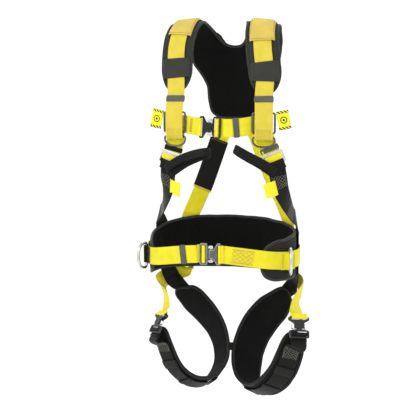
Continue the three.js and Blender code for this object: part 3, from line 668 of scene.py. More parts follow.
# ---- pads: foam under cloth, from the CAD solids ----

VOXEL = 5 * MM
PUFF_CAP = 5 * MM  # how far the cloth may swell
PUFF_FRAMES = 20
CLEAR = 0.25 * MM  # how far a pad may stand proud of its CAD solid
RIM_THICK, BODY_THICK, SEAM_THICK = 0.42, 0.74, 0.5  # thickness before puffing, as shares of the CAD pad's


def evaluated(obj):
    return obj.evaluated_get(bpy.context.evaluated_depsgraph_get())


def remeshed(obj):
    modifier = obj.modifiers.new("remesh", "REMESH")
    modifier.mode = "VOXEL"
    modifier.voxel_size = VOXEL
    result = bpy.data.meshes.new_from_object(evaluated(obj))
    obj.modifiers.clear()
    obj.data = result


def vectors(items, name):
    """A vector of each vertex or face, as rows."""
    found = np.zeros(len(items) * 3, np.float32)
    items.foreach_get(name, found)
    return found.reshape(-1, 3).astype(float)


def coordinates(mesh):
    return vectors(mesh.vertices, "co")


def set_coordinates(mesh, co):
    mesh.vertices.foreach_set("co", co.astype(np.float32).ravel())
    mesh.update()


def place_on_routes(routes, points):
    """For each point: route number, length, across, out offset, out direction, of the route it belongs to."""
    rows, scores = [], []
    for number, route in enumerate(routes):
        s, x, y, out, width = route.locate(points)
        rows.append(np.column_stack([np.full(len(points), number), s, x, y, out]))
        scores.append(np.abs(y) + 2 * np.maximum(np.abs(x) - width / 2, 0))
    return np.array(rows)[np.argmin(scores, 0), np.arange(len(points))]


def puff(obj, pinned):
    """Cloth under pressure from inside, held at the seams, with its travel capped."""
    before = coordinates(obj.data)
    group = obj.vertex_groups.new(name="seams")
    group.add([int(i) for i in np.flatnonzero(pinned)], 1.0, "REPLACE")
    cloth = obj.modifiers.new("cloth", "CLOTH")
    settings = cloth.settings
    settings.quality = 4
    settings.mass = 0.3
    settings.use_pressure = True
    settings.uniform_pressure_force = 4
    settings.tension_stiffness = settings.compression_stiffness = 12
    settings.bending_stiffness = 2
    settings.vertex_group_mass = "seams"
    settings.effector_weights.gravity = 0
    cloth.point_cache.frame_start, cloth.point_cache.frame_end = 1, PUFF_FRAMES
    scene = bpy.context.scene
    for number in range(1, PUFF_FRAMES + 1):
        scene.frame_set(number)
    travel = coordinates(evaluated(obj).to_mesh()) - before
    obj.modifiers.clear()
    scene.frame_set(1)
    obj.vertex_groups.clear()
    size = np.linalg.norm(travel, axis=1, keepdims=True)
    return before + travel * np.minimum(1, PUFF_CAP / np.maximum(size, 1e-9))


def subdivided(obj, levels):
    fine = obj.modifiers.new("fine", "SUBSURF")
    fine.levels = fine.render_levels = levels


def smoothed(obj, rounds):
    mesh = bmesh.new()
    mesh.from_mesh(obj.data)
    for _ in range(rounds):
        bmesh.ops.smooth_vert(mesh, verts=mesh.verts, factor=0.5, use_axis_x=True, use_axis_y=True, use_axis_z=True)
    mesh.to_mesh(obj.data)
    mesh.free()


def pad(name, nodes, routes, materials, seam_lengths=()):
    """A foam pad: remeshed from its CAD solids, thinned at its rim and seams, puffed, and held inside them."""
    mesh = welded(*nodes)
    solid = BVHTree.FromBMesh(mesh)
    obj = mesh_object(name, mesh)
    remeshed(obj)
    smoothed(obj, 3)
    points = coordinates(obj.data)
    placed = place_on_routes(routes, points)
    out = placed[:, 4:7]
    rim = np.abs(np.sum(vectors(obj.data.vertices, "normal") * out, 1)) < 0.55
    rims = tree_of(points[rim])
    to_rim = np.array([rims.find(p)[2] for p in points])
    to_seam = np.full(len(points), 1.0)
    for length in seam_lengths:
        to_seam = np.minimum(to_seam, np.abs(placed[:, 1] - length))
    crown = np.clip(to_rim / (13 * MM), 0, 1)
    keep = RIM_THICK + (BODY_THICK - RIM_THICK) * crown * (2 - crown)
    keep = keep * (1 - (1 - SEAM_THICK) * np.clip(1 - to_seam / (9 * MM), 0, 1))
    set_coordinates(obj.data, points - out * (placed[:, 3] * (1 - keep))[:, None])
    set_coordinates(obj.data, puff(obj, (to_rim < 5 * MM) | (to_seam < 3 * MM)))
    smoothed(obj, 1)
    held = coordinates(obj.data)
    for i, p in enumerate(held):
        place, normal, _, _ = solid.find_nearest(Vector(p))
        if place is not None and (Vector(p) - place).dot(normal) > CLEAR:
            held[i] = place + normal * CLEAR
    set_coordinates(obj.data, held)
    dress_pad(obj, routes, materials, nodes)
    return obj


def dress_pad(obj, routes, materials, nodes):
    """Lengths in metres as UVs, the outer cloth on the outer side and the mesh on the inner one."""
    mesh = obj.data
    placed = place_on_routes(routes, vectors(mesh.polygons, "center"))
    on_each = [route.locate(coordinates(mesh)) for route in routes]
    inner = np.sum(vectors(mesh.polygons, "normal") * placed[:, 4:7], 1) < -0.25
    uvs = np.zeros((len(mesh.loops), 2))
    for polygon in mesh.polygons:
        s, x = on_each[int(placed[polygon.index, 0])][:2]
        for loop in polygon.loop_indices:
            vertex = mesh.loops[loop].vertex_index
            uvs[loop] = (x[vertex], s[vertex])
    mesh.uv_layers.new(name="weave").data.foreach_set("uv", uvs.ravel())
    mesh.polygons.foreach_set("use_smooth", [True] * len(mesh.polygons))
    finish_piece(obj, materials, ROOT, nodes)
    mesh.polygons.foreach_set("material_index", inner.astype(int))
    subdivided(obj, 1)


def closed_line(points, spacing, rounds=3):
    """A closed line through points, evenly spaced and smoothed."""
    points = np.asarray(points, float)
    for _ in range(rounds + 1):
        ends = np.vstack([points, points[:1]])
        s = np.concatenate([[0], np.cumsum(np.linalg.norm(np.diff(ends, axis=0), axis=1))])
        count = int(s[-1] / spacing)
        even = np.linspace(0, s[-1], count, endpoint=False)
        points = np.column_stack([np.interp(even, s, ends[:, k]) for k in range(3)])
        points = 0.5 * points + 0.25 * (np.roll(points, 1, 0) + np.roll(points, -1, 0))
    return points


def edge_points(route, start, end, side):
    """Points a little inside one long edge of a pad."""
    centre, _, across, _, width = route.at(stops_between(start, end, 8 * MM))
    return centre + across * (side * (width / 2 - 1.5 * MM))[:, None]


def pad_outline(route):
    """The closed rim of a pad that is one strip."""
    return np.vstack([edge_points(route, 0, route.length, 1), edge_points(route, route.length, 0, -1)])


def bind(name, obj, outline, routes, material, width=8 * MM, thickness=7 * MM):
    """Binding tape folded round a pad's rim, with a row of stitches along it on each face."""
    mesh = bmesh.new()
    mesh.from_mesh(obj.data)
    tree = BVHTree.FromBMesh(mesh)
    mesh.free()
    points = np.array([tree.find_nearest(Vector(p))[0] for p in closed_line(outline, 5 * MM)])
    points = closed_line(points, 5 * MM, 2)
    outs = unit(place_on_routes(routes, points)[:, 4:7])
    finish_piece(sweep(name, points, outs, width, thickness), material, ROOT)
    across = np.cross(unit(np.roll(points, -1, 0) - np.roll(points, 1, 0)), outs)
    inward = np.sign(np.sum((points - points.mean(0)) * across, 1))
    dashes = []
    for face in (1, -1):
        row = points + outs * face * thickness * 0.43 - across * (inward * width * 0.2)[:, None]
        dashes += zip(row, row + (np.roll(row, -1, 0) - row) * 0.7, outs * face)
    finish_piece(thread(name + "_stitches", dashes, 0.34 * MM), DARK_GREY_THREAD, ROOT)


# ---- webbing, seams and keepers ----


def webbing(name, route, material=YELLOW, body=ROOT, replaces=(), **shape):
    return finish_piece(ribbon(name, route, **shape), material, body, replaces)


def strap(name, route, material=YELLOW, body=ROOT, **shape):
    """The webbing that replaces the CAD strap of the same name."""
    return webbing(name + "_webbing", route, material, body, [name], **shape)


def turned(centre, x, z, stations, width=WEB):
    """The route of webbing that turns in the plane of x and z; stations are millimetres along them."""
    x, z = np.array(x), np.array(z)
    points = [centre + (x * a + z * b) * MM for a, b in stations]
    slope = unit(np.gradient(np.array(stations, float), axis=0))
    return hand_route(points, [z * da - x * db for da, db in slope], width)


def sew(name, route, lines, material, lift=ON_WEB, pitch=3.4 * MM, radius=STITCH):
    return finish_piece(thread(name, dashes_on(route, lines, lift, pitch), radius), material, ROOT)


def across_lines(stops, half):
    return [[(s, -half), (s, half)] for s in stops]


def zigzag(s0, s1, half, rows, turns=4):
    """Box stitching: rows of crossing zigzags over a stretch of a strap, with a line along each edge."""
    lines = [[(s0, -half), (s1, -half)], [(s0, half), (s1, half)]]
    reach = half / rows * 0.92
    for row in range(rows):
        base = -half + 2 * half * (row + 0.5) / rows
        for lean in (1, -1):
            lines.append([(s0 + (s1 - s0) * i / turns, base + lean * (reach if i % 2 else -reach))
                          for i in range(turns + 1)])
    return lines


def band(name, route, s, length, width=49 * MM, material=ELASTIC, body=ROOT, replaces=()):
    """An elastic keeper: a soft band round the strap, its edges drawn in a little."""
    height, wall = 6.6 * MM, 1.3 * MM
    outside, inside = (round_corners(width, height, height * 0.42, inset) for inset in (0.0, wall))
    centre, along, across, out, _ = route.one(s)
    stations = np.linspace(-0.5, 0.5, 7)
    verts, uvs, faces = [], [], []
    for t in stations:
        pinch = 1 - 0.05 * (abs(t) * 2) ** 3
        for x, y in outside + inside[::-1]:
            verts.append(centre + along * t * length + across * x * pinch + out * y * pinch)
            uvs.append((x, t * length))
    n = len(outside)
    last = (len(stations) - 1) * 2 * n
    for ring in range(0, last, 2 * n):
        faces += joins(ring, ring + 2 * n, n) + joins(ring + n, ring + 3 * n, n)
    for ring in (0, last):
        for j in range(n):
            k = (j + 1) % n
            faces.append((ring + j, ring + k, ring + n + (n - 1 - k), ring + n + (n - 1 - j)))
    return finish_piece(new_object(name, verts, faces, uvs), material, body, replaces)


def keeper_band(node, route, length, **how):
    """The elastic band that replaces a CAD keeper on a strap."""
    return band(node + "_band", route, route.near(middle_of(node)), length, replaces=[node], **how)


def soft_end(pieces, route, start, end):
    """The pieces' transforms are baked into their meshes; the route's points at `start` and `end`, as shares of its
    length, are looked up and not used.
    """
    for piece in pieces:
        route.one(start * route.length)[0]
        route.one(end * route.length)[0]
        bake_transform(piece)


def wrap(name, centre, out, along, stations, material=BLACK_WEB):
    """Webbing turned round a ring's bar; stations are (outwards, along the surface) in millimetres."""
    out, along = unit(out), unit(along)
    route = turned(centre, along, out, [(b, a) for a, b in stations])
    if np.dot(route.out[len(route.out) // 2], out) < 0:
        route.out = -route.out
    webbing(name, route, material, step=1.5 * MM, ripple=0.0)
    tacks = across_lines((3 * MM, 6 * MM, route.length - 6 * MM, route.length - 3 * MM), 17 * MM)
    sew(name + "_stitches", route, tacks, BROWN_THREAD)


# ---- hardware ----

def rounded_cad(name, node, material, bevel=0.0):
    """A finer copy of a CAD piece: a bar is smoothed round, and a plate keeps its shape with eased edges."""
    mesh = welded(node)
    bmesh.ops.recalc_face_normals(mesh, faces=mesh.faces)
    if bevel:
        bmesh.ops.dissolve_limit(mesh, angle_limit=math.radians(1.5), verts=mesh.verts, edges=mesh.edges)
    else:
        bmesh.ops.join_triangles(mesh, faces=mesh.faces, angle_face_threshold=math.radians(50),
                                 angle_shape_threshold=math.radians(180))
    obj = mesh_object(name, mesh)
    obj.data.polygons.foreach_set("use_smooth", [True] * len(obj.data.polygons))
    if bevel:
        ease = obj.modifiers.new("ease", "BEVEL")
        ease.width = bevel
        ease.segments = 3
        ease.limit_method = "ANGLE"
        ease.angle_limit = math.radians(32)
        ease.harden_normals = False
        ease.use_clamp_overlap = True
        obj.modifiers.new("even", "WEIGHTED_NORMAL").keep_sharp = True
    else:
        subdivided(obj, 2)
    return finish_piece(obj, material, body_of(node), [node])


def body_of(node):
    return NODES[node]["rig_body"]


class BuckleFrame:
    """Place of a quick-connect buckle: x the way the tongue pulls out, y across the strap, z outwards."""

    def __init__(self, housing, pull, across):
        self.x, self.y = unit(pull), unit(across)
        self.z = np.cross(self.x, self.y)
        corners = corners_of(housing)
        along, side, up = corners @ self.x, corners @ self.y, corners @ self.z
        self.origin = (self.x * along.max() + self.y * (side.max() + side.min()) / 2
                       + self.z * (up.max() + up.min()) / 2)

    def point(self, x, y=0.0, z=0.0):
        return self.origin + (self.x * x + self.y * y + self.z * z) * MM

    def loop(self, name, stations, body, material=YELLOW):
        """Webbing that turns through the buckle; stations are (x, z) in millimetres."""
        return webbing(name, turned(self.origin, self.x, self.z, stations), material, body, step=1.2 * MM,
                       thickness=1.8 * MM, ripple=0.0)


TONGUE_LOOP = [(31.5, -1.6), (28, -3.2), (22, -4.2), (18.6, -3.0), (18.0, 0), (16.8, 3.0), (13.9, 4.2), (11.0, 3.0),
               (9.9, 0), (10.2, -3.4), (13.5, -6.2), (20, -6.8), (26, -6.2), (31, -5.0)]
HOUSING_LOOP = [(-37, -1.0), (-32, -1.8), (-28.2, -1.6), (-25.6, 0.6), (-24.6, 3.0), (-26, 6.1), (-29.4, 5.6),
                (-31.6, 2.6), (-33.4, 1.2), (-38, 1.4)]
HOUSING_LIP = [(-28.2, -24.2), (-20.8, -25.2), (-13.2, -10.6), (-1.8, -10.4), (-1.8, 10.4), (-13.2, 10.6),
               (-20.8, 25.2), (-28.2, 24.2)]
TONGUE_FRAME = (5.6, 22.2, 50.8)  # millimetres: its near and far side along the pull, and its width
RIVETS = [(-9, 8.3, 5), (-9, -8.3, 5)]


def tongue_rim(name, place, body, metal):
    """A raised rim round the tongue's frame."""
    near, far, width = TONGUE_FRAME
    rim = [place.point((near + far) / 2 + x, y, 2.6) for x, y in round_corners(far - near, width, 3.0)]
    piece = sweep(name, rim, [place.z] * len(rim), 2.4 * MM, 1.8 * MM, sides=10)
    finish_piece(piece, metal, body)


def housing_lip(name, place, body, metal):
    """The raised lip round the housing's outer face."""
    line = closed_line([place.point(x, y, 4.9) for x, y in HOUSING_LIP], 1.4 * MM, 2)
    piece = sweep(name, line, [place.z] * len(line), 1.7 * MM, 1.3 * MM, sides=8)
    finish_piece(piece, metal, body)


def rivets(name, place, body, metal):
    """Domed rivet heads on a buckle's outer face."""
    radius, height, rings, sides = 1.7, 0.9, 4, 14
    verts, faces = [], []
    for x, y, z in RIVETS:
        base = len(verts)
        for i in range(rings):
            angle = i / rings * math.pi / 2
            r = radius * math.cos(angle)
            for j in range(sides):
                turn = 2 * math.pi * j / sides
                verts.append(place.point(x + r * math.cos(turn), y + r * math.sin(turn), z + height * math.sin(angle)))
        top = len(verts)
        verts.append(place.point(x, y, z + height))
        for i in range(rings - 1):
            faces += joins(base + i * sides, base + (i + 1) * sides, sides)
        last = top - sides
        faces += [(last + j, last + (j + 1) % sides, top) for j in range(sides)]
        faces.append(tuple(base + j for j in range(sides - 1, -1, -1)))
    finish_piece(new_object(name, verts, faces), metal, body)


def buckle(name, node, clips, pull=1, metal=BLACK_METAL, edges=BLACK_METAL):
    """A quick-connect buckle; `clips` maps the names of its levers to their CAD nodes."""
    housing, tongue = node + "_housing", node + "_tongue"
    place = BuckleFrame(housing, AXES[node + "_release"] * pull, -AXES[list(clips.values())[0] + "_press"])
    rounded_cad(name + "_housing_body", housing, metal, 1.3 * MM)
    rounded_cad(name + "_tongue_plate", tongue, metal, 0.7 * MM)
    for lever, clip in clips.items():
        rounded_cad(lever + "_lever", clip, BRIGHT, 1.1 * MM)
    tongue_rim(name + "_tongue_rim", place, body_of(tongue), edges)
    rivets(name + "_rivets", place, body_of(housing), metal)
    housing_lip(name + "_housing_lip", place, body_of(housing), edges)
    return place


# ---- the yoke: back pad and both shoulder pads as one piece of foam ----

LAYER = 2.2 * MM  # webbing and the gap under it
BAND_AT = {"right": 0.215, "left": 0.19}  # middle of the band, as a share of the shoulder pad's length


def neckline(back, right, left):
    """Points of the neck's edge, from the right shoulder pad down to the back pad and up to the left one."""
    low = corners_of("back_pad")[:, 2].max() - 1 * MM
    ends = []
    for route, side in ((right, 1), (left, -1)):
        centre, _, across, _, width = route.one(route.length - 2 * MM)
        ends.append(centre + side * across * width / 2)
    middle = back.one(back.length)[0]
    points = []
    for t in np.linspace(0.06, 0.94, 9):
        sag = 1 - abs(2 * t - 1) ** 2.2
        x, y, z = ends[0] * (1 - t) + ends[1] * t
        points.append((x, y * (1 - sag) + middle[1] * sag, z * (1 - sag) + low * sag))
    return np.array(points)


def make_yoke():
    back = cad_route("back_pad", 8, (0, 0, -1))
    right, left = (cad_route(f"shoulder_pad_{side}", 8, (0, 0, -1)) for side in SIDES)
    routes = [back, right, left]
    yoke = pad("yoke_pad", ["back_pad", "shoulder_pad_right", "shoulder_pad_left"], routes, [YOKE, MESH])
    outline = np.vstack([
        edge_points(back, 0, back.length, 1), edge_points(right, right.length, 0, -1),
        edge_points(right, 0, right.length, 1), neckline(back, right, left), edge_points(left, left.length, 0, -1),
        edge_points(left, 0, left.length, 1), edge_points(back, back.length, 0, -1),
    ])
    bind("yoke_binding", yoke, outline, routes, BINDING)
    shoulders = dict(zip(SIDES, (right, left)))
    for side, route in shoulders.items():
        front, rear = 0.04 * route.length, 0.97 * route.length
        stops = np.linspace(front, rear, 12)
        inset = np.interp(stops, [front, 0.16 * route.length], [7 * MM, 9.5 * MM])
        reach = route.at(stops)[4] / 2 - inset
        lines = [list(zip(stops, edge * reach)) for edge in (-1, 1)]
        sew(f"shoulder_piping_stitches_{side}", route, lines, DARK_GREY_THREAD, 5.2 * MM)
    return shoulders


def panel(name, route, start, end, width, material, lift=0.0, drop=0.0, replaces=(),
          thickness=1.0 * MM):
    """A flat piece of cover fabric sewn over a strap; it curves down to the pad at its long edges."""
    def section(w, t):
        xs = np.linspace(-w / 2, w / 2, 15)
        return [(x, t / 2) for x in xs] + [(x, -t / 2) for x in xs[::-1]]
    piece = ribbon(name, route, start, end, width=width, thickness=thickness, lift=lift, drop=drop, section=section,
                   ripple=0.35 * MM)
    finish_piece(piece, material, ROOT, replaces)


def make_shoulders(pads):
    for side in SIDES:
        name, sleeve_node = f"shoulder_strap_{side}", f"shoulder_sleeve_{side}"
        route = cad_route(name, first=(0, 1, 0))
        piece = strap(name, route, WARM_YELLOW)
        sleeve = cad_route(sleeve_node, first=(0, -1, 0))
        panel(f"shoulder_cover_{side}", sleeve, 0, sleeve.length, 63 * MM, SLEEVE,
              drop=5.5 * MM, replaces=[sleeve_node])
        hem, edge = 4.5 * MM, 28.5 * MM
        hems = (hem, sleeve.length - hem)
        sew(f"shoulder_cover_stitches_{side}", sleeve, across_lines(hems, edge), BROWN_THREAD, 1.0 * MM,
            radius=0.6 * MM)
        sew(f"shoulder_cover_side_stitches_{side}", sleeve,
            [[(s, x) for s in np.linspace(*hems, 10)] for x in (-edge, edge)], BROWN_THREAD, -2.4 * MM)
        tip = route.near(pads[side].one(BAND_AT[side] * pads[side].length)[0])
        panel(f"shoulder_band_{side}", route, tip - 25 * MM, tip + 25 * MM, 73 * MM, BAND,
              LAYER, 6.5 * MM, thickness=1.2 * MM)
        rows = across_lines((tip - 22 * MM, tip + 22 * MM), 33 * MM)
        sew(f"shoulder_band_stitches_{side}", route, rows, DARK_GREY_THREAD, LAYER + 0.75 * MM)
        keeper_band(f"shoulder_keeper_{side}", route, 16 * MM)
        below = route.near(middle_of(f"chest_ring_{side}") - Vector((0, 0, 20 * MM)))
        rows = zigzag(below - 5 * MM, below + 17 * MM, 17 * MM, 3)
        sew(f"shoulder_fold_stitches_{side}", route, rows, OCHRE_THREAD, WEB_T / 2, pitch=2.6 * MM)


# ---- chest ----

def make_tag(side):
    """The printed tag that hangs on a chest ring, curled a little."""
    node = f"ring_tag_{side}"
    corners = corners_of(node)
    middle = corners.mean(0)
    tall, _, out = np.linalg.svd(corners - middle)[2]
    tall = tall * np.sign(tall[2])
    out = out * -np.sign(out[1])
    wide = np.cross(tall, out)
    columns, rows, half_w, half_h, t = 9, 13, 15.4 * MM, 23.5 * MM, 0.35 * MM
    verts, uvs = [], []
    for face in (1, -1):
        for j in range(rows):
            for i in range(columns):
                x, y = half_w * (2 * i / (columns - 1) - 1), half_h * (2 * j / (rows - 1) - 1)
                curl = 1.5 * MM * math.sin(3 * x / half_w) * (y / half_h) - 1.2 * MM * (x / half_w) ** 2
                verts.append(middle + wide * x + tall * y + out * (curl + face * t))
                uvs.append((x, y))
    faces = []
    size = columns * rows
    for j in range(rows - 1):
        for i in range(columns - 1):
            a = j * columns + i
            faces.append((a, a + 1, a + columns + 1, a + columns))
            faces.append((size + a, size + a + columns, size + a + columns + 1, size + a + 1))
    rim = list(range(columns)) + [columns * j + columns - 1 for j in range(1, rows)]
    rim += list(range(size - 2, size - columns - 1, -1)) + [columns * j for j in range(rows - 2, 0, -1)]
    for a, b in zip(rim, rim[1:] + rim[:1]):
        faces.append((a, size + a, size + b, b))
    piece = new_object(node + "_film", verts, faces, uvs)
    finish_piece(piece, TAG, node + "_body", [node])


def make_chest():
    place = buckle("chest", "chest_buckle", {clip: clip for clip in ("chest_clip_upper", "chest_clip_lower")})
    for side in SIDES:
        for node in (f"chest_ring_{side}", f"chest_d_ring_{side}"):
            rounded_cad(node + "_steel", node, DARK)
        make_tag(side)
    right = cad_route("chest_strap_right", first=(-1, 0, 0))
    strap("chest_strap_right", right, end=right.length - 1.5 * MM)
    rows = across_lines([0.6 * right.length + d * MM for d in (-3.2, -1.1, 1.1, 3.2)], 17 * MM)
    sew("chest_strap_right_tack", right, rows, PINK_THREAD, pitch=2.4 * MM, radius=BOLD_STITCH)
    place.loop("chest_housing_loop", HOUSING_LOOP, ROOT)
    left = cad_route("chest_strap_left", first=(-1, 0, 0))
    moving = [strap("chest_strap_left", left, body=None, start=3.5 * MM),
              keeper_band("chest_keeper", left, 15 * MM, body=None)]
    soft_end(moving, left, 0.82, 0.1)
    place.loop("chest_tongue_loop", TONGUE_LOOP, "chest_tongue")


# ---- dorsal plate, back straps ----

def make_back():
    rounded_cad("dorsal_plate_moulding", "dorsal_plate", PLASTIC, 1.2 * MM)
    rounded_cad("dorsal_ring_steel", "dorsal_ring", BRIGHT)
    corners = corners_of("dorsal_ring")
    bar = corners[corners[:, 2] < corners[:, 2].min() + 8.1 * MM].mean(0)
    stations = [(-10, 18.5), (-8, 18), (-3.5, 15), (1.5, 9), (5.2, 4), (6.1, 0), (5.2, -4), (1.5, -9), (-3.5, -15),
                (-8, -18), (-10, -18.5)]
    wrap("dorsal_ring_wrap", bar, (0, 1, 0.08), (0, -0.08, 1), stations)
    for side in SIDES:
        route = cad_route(f"back_strap_{side}", first=(0, 0, 1))
        strap(f"back_strap_{side}", route)
        rows = zigzag(route.length - 26 * MM, route.length - 4 * MM, 18 * MM, 4)
        sew(f"back_strap_stitches_{side}", route, rows, BLACK_THREAD, pitch=2.6 * MM)
    label = cad_route("label_sleeve", first=(0, 0, 1))
    panel("label_cover", label, 0, label.length, 51 * MM, LABEL,
          replaces=["label_sleeve"])
    hem = ribbon("label_hem", label, label.length - 5 * MM, label.length + 0.3 * MM, width=51.6 * MM,
                 thickness=1.5 * MM, step=1.5 * MM, ripple=0.0)
    finish_piece(hem, HEM, ROOT)
    ends = across_lines((4 * MM, label.length - 2.5 * MM), 22 * MM)
    sew("label_cover_stitches", label, ends, BROWN_THREAD, 1.0 * MM)
    sew("label_cover_inner_stitches", label, ends, BROWN_THREAD, -1.0 * MM, radius=0.5 * MM)


# ---- sides: adjusters, black side straps, front loops ----

def loop_tag(side, route):
    """A plain yellow tag folded round the inner edge of the black side strap, below the front loop."""
    centre, _, across, out, width = route.one(52 * MM)
    inner = across if np.dot(across, np.array(TORSO) - centre) > 0 else -across
    stations = [(-12, 1.6), (-4, 2.2), (4, 1.8), (13, 0.6), (20, -0.9)]  # past the strap's edge, outwards
    points = [centre + inner * (width / 2 + x * MM) + out * y * MM for x, y in stations]
    tag = hand_route(points, [out] * len(points), 40 * MM)
    piece = ribbon(f"loop_tag_{side}", tag, thickness=0.8 * MM, ripple=0.4 * MM)
    finish_piece(piece, PLAIN_TAG, ROOT)
    sew(f"loop_tag_stitches_{side}", tag, across_lines((4 * MM, 8 * MM), 16 * MM), OCHRE_THREAD, 0.45 * MM)


def folded_section(width, thickness):
    """Webbing folded in half lengthways: two rounded layers, closed along one edge."""
    half, t = width / 2, thickness / 2
    top = [(x, t * (1 - 0.35 * (x / half) ** 4)) for x in np.linspace(-half * 0.86, half * 0.86, 9)]
    bottom = [(x, -y) for x, y in top[::-1]]
    return top + [(half * 0.97, t * 0.35), (half * 0.97, -t * 0.35)] + bottom \
        + [(-half * 0.97, -t * 0.35), (-half * 0.97, t * 0.35)]


ADJUSTER_TURN = [(-2.6, 26), (-2.6, 18), (-2.2, 12), (0, 7.6), (2.3, 4.6), (3.3, 1.5), (3.3, -1.5), (2.3, -4.6),
                 (0, -7.2), (-2.2, -9.4)]  # millimetres outwards and up the strap
ADJUSTER_FOLD = [(6.5, -2.4), (7.6, 0), (9.6, 2.6), (13.5, 3.3), (17.4, 2.4), (19.4, 0.2), (24, -0.6),
                 (32, -0.9)]  # millimetres down the strap and outwards


def adjuster_webbing(side, rib, middle):
    """Yellow webbing turned over the adjuster's middle bar, and the black strap folded round its lower bar."""
    _, along, _, out, _ = rib.one(rib.near(middle))
    middle = np.array(middle)
    turn = turned(middle, out, -along, ADJUSTER_TURN, 44 * MM)
    fold = turned(middle, along, out, ADJUSTER_FOLD, 44 * MM)
    for name, route, material in ((f"adjuster_turn_{side}", turn, YELLOW), (f"adjuster_fold_{side}", fold, BLACK_WEB)):
        webbing(name, route, material, step=1.5 * MM, thickness=1.7 * MM, ripple=0.0)


def make_sides(legs):
    for side in SIDES:
        rib = cad_route(f"rib_strap_{side}", first=(0, 0, 1))
        strap(f"rib_strap_{side}", rib)
        keeper_band(f"side_keeper_{side}", rib, 12 * MM, material=DARK_ELASTIC if side == "right" else ELASTIC)
        adjuster = f"side_adjuster_{side}"
        rounded_cad(adjuster + "_plate", adjuster, GREY_METAL, 0.9 * MM)
        adjuster_webbing(side, rib, middle_of(adjuster))
        route = cad_route(f"side_strap_{side}", first=(0, 0, 1))
        strap(f"side_strap_{side}", route, BLACK_WEB)
        for number, start in enumerate((26 * MM, 128 * MM)):
            sew(f"side_strap_stitches_{side}_{number}", route, zigzag(start, start + 34 * MM, 18 * MM, 4), GREY_THREAD,
                pitch=2.6 * MM)
        loop_tag(side, route)
        name = f"front_loop_{side}"
        loop = cad_route(name, first=(-0.2 if side == "right" else 0.2, -1, 0))
        strap(name, loop, LOOP_WEB, thickness=3.6 * MM, section=folded_section)
        # black webbing from the side strap's end down to the leg pad
        (low, _, _, low_out, _), (end, _, _, end_out, _) = (route.one(route.length - d * MM) for d in (12, 1))
        top, along, _, out, _ = legs[side].one(14 * MM)
        points = [low + low_out * 0.4 * MM, end + end_out * 0.4 * MM, top + out * 8 * MM - along * 10 * MM,
                  top + out * 8.2 * MM + along * 12 * MM]
        webbing(f"leg_riser_{side}", hand_route(points, [low_out, end_out, out, out], 43 * MM), BLACK_WEB)


# ---- belt ----

def make_belt():
    route = cad_route("belt_pad", 8, (-1, -0.5, 0))
    seams = [part * route.length for part in (0.2, 0.33, 0.46, 0.59, 0.72)]
    belt = pad("belt_pad_foam", ["belt_pad"], [route], [BELT_FABRIC, MESH], seams)
    bind("belt_binding", belt, pad_outline(route), [route], SHINY_BINDING)
    for number, s in enumerate(seams):
        half = route.one(s)[4] / 2 - 10 * MM
        sew(f"belt_quilting_{number}", route, across_lines([s], half), DARK_GREY_THREAD, -2.3 * MM)
    long = cad_route("belt_strap_left", first=(1, -1.2, 0))
    strap("belt_strap_left", long, start=1.5 * MM)
    short = cad_route("belt_strap_right", first=(-1, 0, 0))
    moving = [strap("belt_strap_right", short, body=None, end=short.length - 3.5 * MM),
              keeper_band("belt_keeper", short, 16 * MM, body=None)]
    soft_end(moving, short, 0.15, 0.9)
    place = buckle("belt", "belt_buckle", {clip: clip for clip in ("belt_clip_lower", "belt_clip_upper")},
                   metal=DARK_GUNMETAL, edges=GUNMETAL)
    place.loop("belt_housing_loop", HOUSING_LOOP, ROOT)
    place.loop("belt_tongue_loop", TONGUE_LOOP, "belt_tongue")
    rows = zigzag(24 * MM, 80 * MM, 17 * MM, 3)
    sew("belt_strap_zigzag", long, rows, PINK_THREAD, pitch=2.6 * MM, radius=BOLD_STITCH)
    stations = [(-4.2, -24), (-4.0, -12), (-1.5, -6.4), (3.2, -5.6), (6.0, -2.6), (6.6, 0), (6.0, 2.6), (3.2, 5.6),
                (-1.5, 6.4), (-4.0, 12), (-4.2, 24)]
    for side in SIDES:
        node = f"belt_ring_{side}"
        rounded_cad(node + "_steel", node, BRIGHT)
        _, along, _, out, _ = long.one(long.near(middle_of(node)))
        corners = corners_of(node)
        reach = corners @ out
        foot = corners[reach < reach.min() + 8.4 * MM].mean(0)
        wrap(node + "_wrap", foot, out, along, stations, BLACK_WEB if side == "right" else YELLOW)


# ---- legs ----

HIP_TWIST = {"right": math.radians(42), "left": math.radians(-16)}
LEG_BANDS = (0.16, 0.34, 0.52, 0.68, 0.8)  # places of the elastic bands, as shares of the webbing's length


def twisted(route, angle):
    """The route with its outer side turned about its own line, most at half its length."""
    turn = angle * np.sin(math.pi * route.s / route.length) ** 2
    out = route.out * np.cos(turn)[:, None] + np.cross(unit(route.slope), route.out) * np.sin(turn)[:, None]
    return Route(route.points, out, route.width)


def eased_over(route, shift):
    """The route with its second half moved over by degrees, by the whole shift at its end."""
    t = np.clip(2 * route.s / route.length - 1, 0, 1)[:, None]
    return Route(route.points + t * t * (3 - 2 * t) * shift, route.out, route.width)


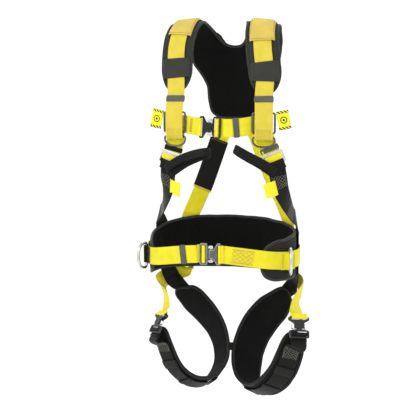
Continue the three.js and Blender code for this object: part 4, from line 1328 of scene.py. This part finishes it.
def make_leg(side, route):
    node, body = f"leg_buckle_{side}", f"leg_housing_{side}"
    leg = pad(f"leg_pad_foam_{side}", [f"leg_pad_{side}"], [route], [BLACK_CANVAS, MESH])
    bind(f"leg_binding_{side}", leg, pad_outline(route), [route], LEG_BINDING, 9 * MM, 8 * MM)
    place = buckle(node, node, {f"leg_{side}_{end}": f"leg_clip_{side}_{end}" for end in ("front", "back")}, pull=-1)
    place.loop(f"leg_housing_loop_{side}", HOUSING_LOOP, body)
    place.loop(f"leg_tongue_loop_{side}", TONGUE_LOOP, ROOT, BLACK_WEB)
    hip = twisted(cad_route(f"hip_strap_{side}", first=(0, 1, 0.4)), HIP_TWIST[side])
    hip = eased_over(hip, (place.origin - hip.points[-1]) @ place.y * place.y)
    piece = strap(f"hip_strap_{side}", hip, body=None)
    hip.one(0.35 * hip.length)[0]
    hip.one(0.92 * hip.length)[0]
    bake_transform(piece)
    # webbing over the pad's outer side, sewn down at its start, up to the buckle's tongue
    stations = np.linspace(0.06 * route.length, route.length - 46 * MM, 40)
    lift = 4.2 * MM + 3.8 * MM * np.clip((stations - stations[0]) / (40 * MM), 0, 1)
    centre, _, _, out, _ = route.at(stations)
    points = [*(centre + out * lift[:, None]), place.point(44, 0, -5.4), place.point(26, 0, -5.7)]
    web = hand_route(points, [*out, place.z, place.z], WEB)
    webbing(f"leg_webbing_{side}", web, BLACK_WEB)
    for number, part in enumerate(LEG_BANDS):
        last = number == len(LEG_BANDS) - 1
        band(f"leg_keeper_{side}_{number}", web, web.length * part, (24 if last else 13) * MM,
             material=WIDE_ELASTIC if last else DARK_ELASTIC)
    rows = zigzag(web.length * 0.87, web.length * 0.87 + 30 * MM, 18 * MM, 4)
    sew(f"leg_webbing_stitches_{side}", web, rows, GREY_THREAD, pitch=2.6 * MM)


def make_leg_link():
    link = middle_of("leg_link")
    points = [link + Vector((x * MM, y * MM, 0)) for x, y in ((-6, 2), (-2.4, 0), (2.4, 0), (6, 2))]
    bridge = hand_route(points, [(0, -1, 0)] * 4, 22 * MM)
    webbing("leg_link_webbing", bridge, BLACK_WEB, replaces=["leg_link"], thickness=2.4 * MM)


LEGS = {side: cad_route(f"leg_pad_{side}", 8, (0, 1, 1), centre=middle_of(f"leg_pad_{side}")) for side in SIDES}
make_shoulders(make_yoke())
make_chest()
make_back()
make_sides(LEGS)
make_belt()
for side in SIDES:
    make_leg(side, LEGS[side])
make_leg_link()
make_stage()
make_camera()
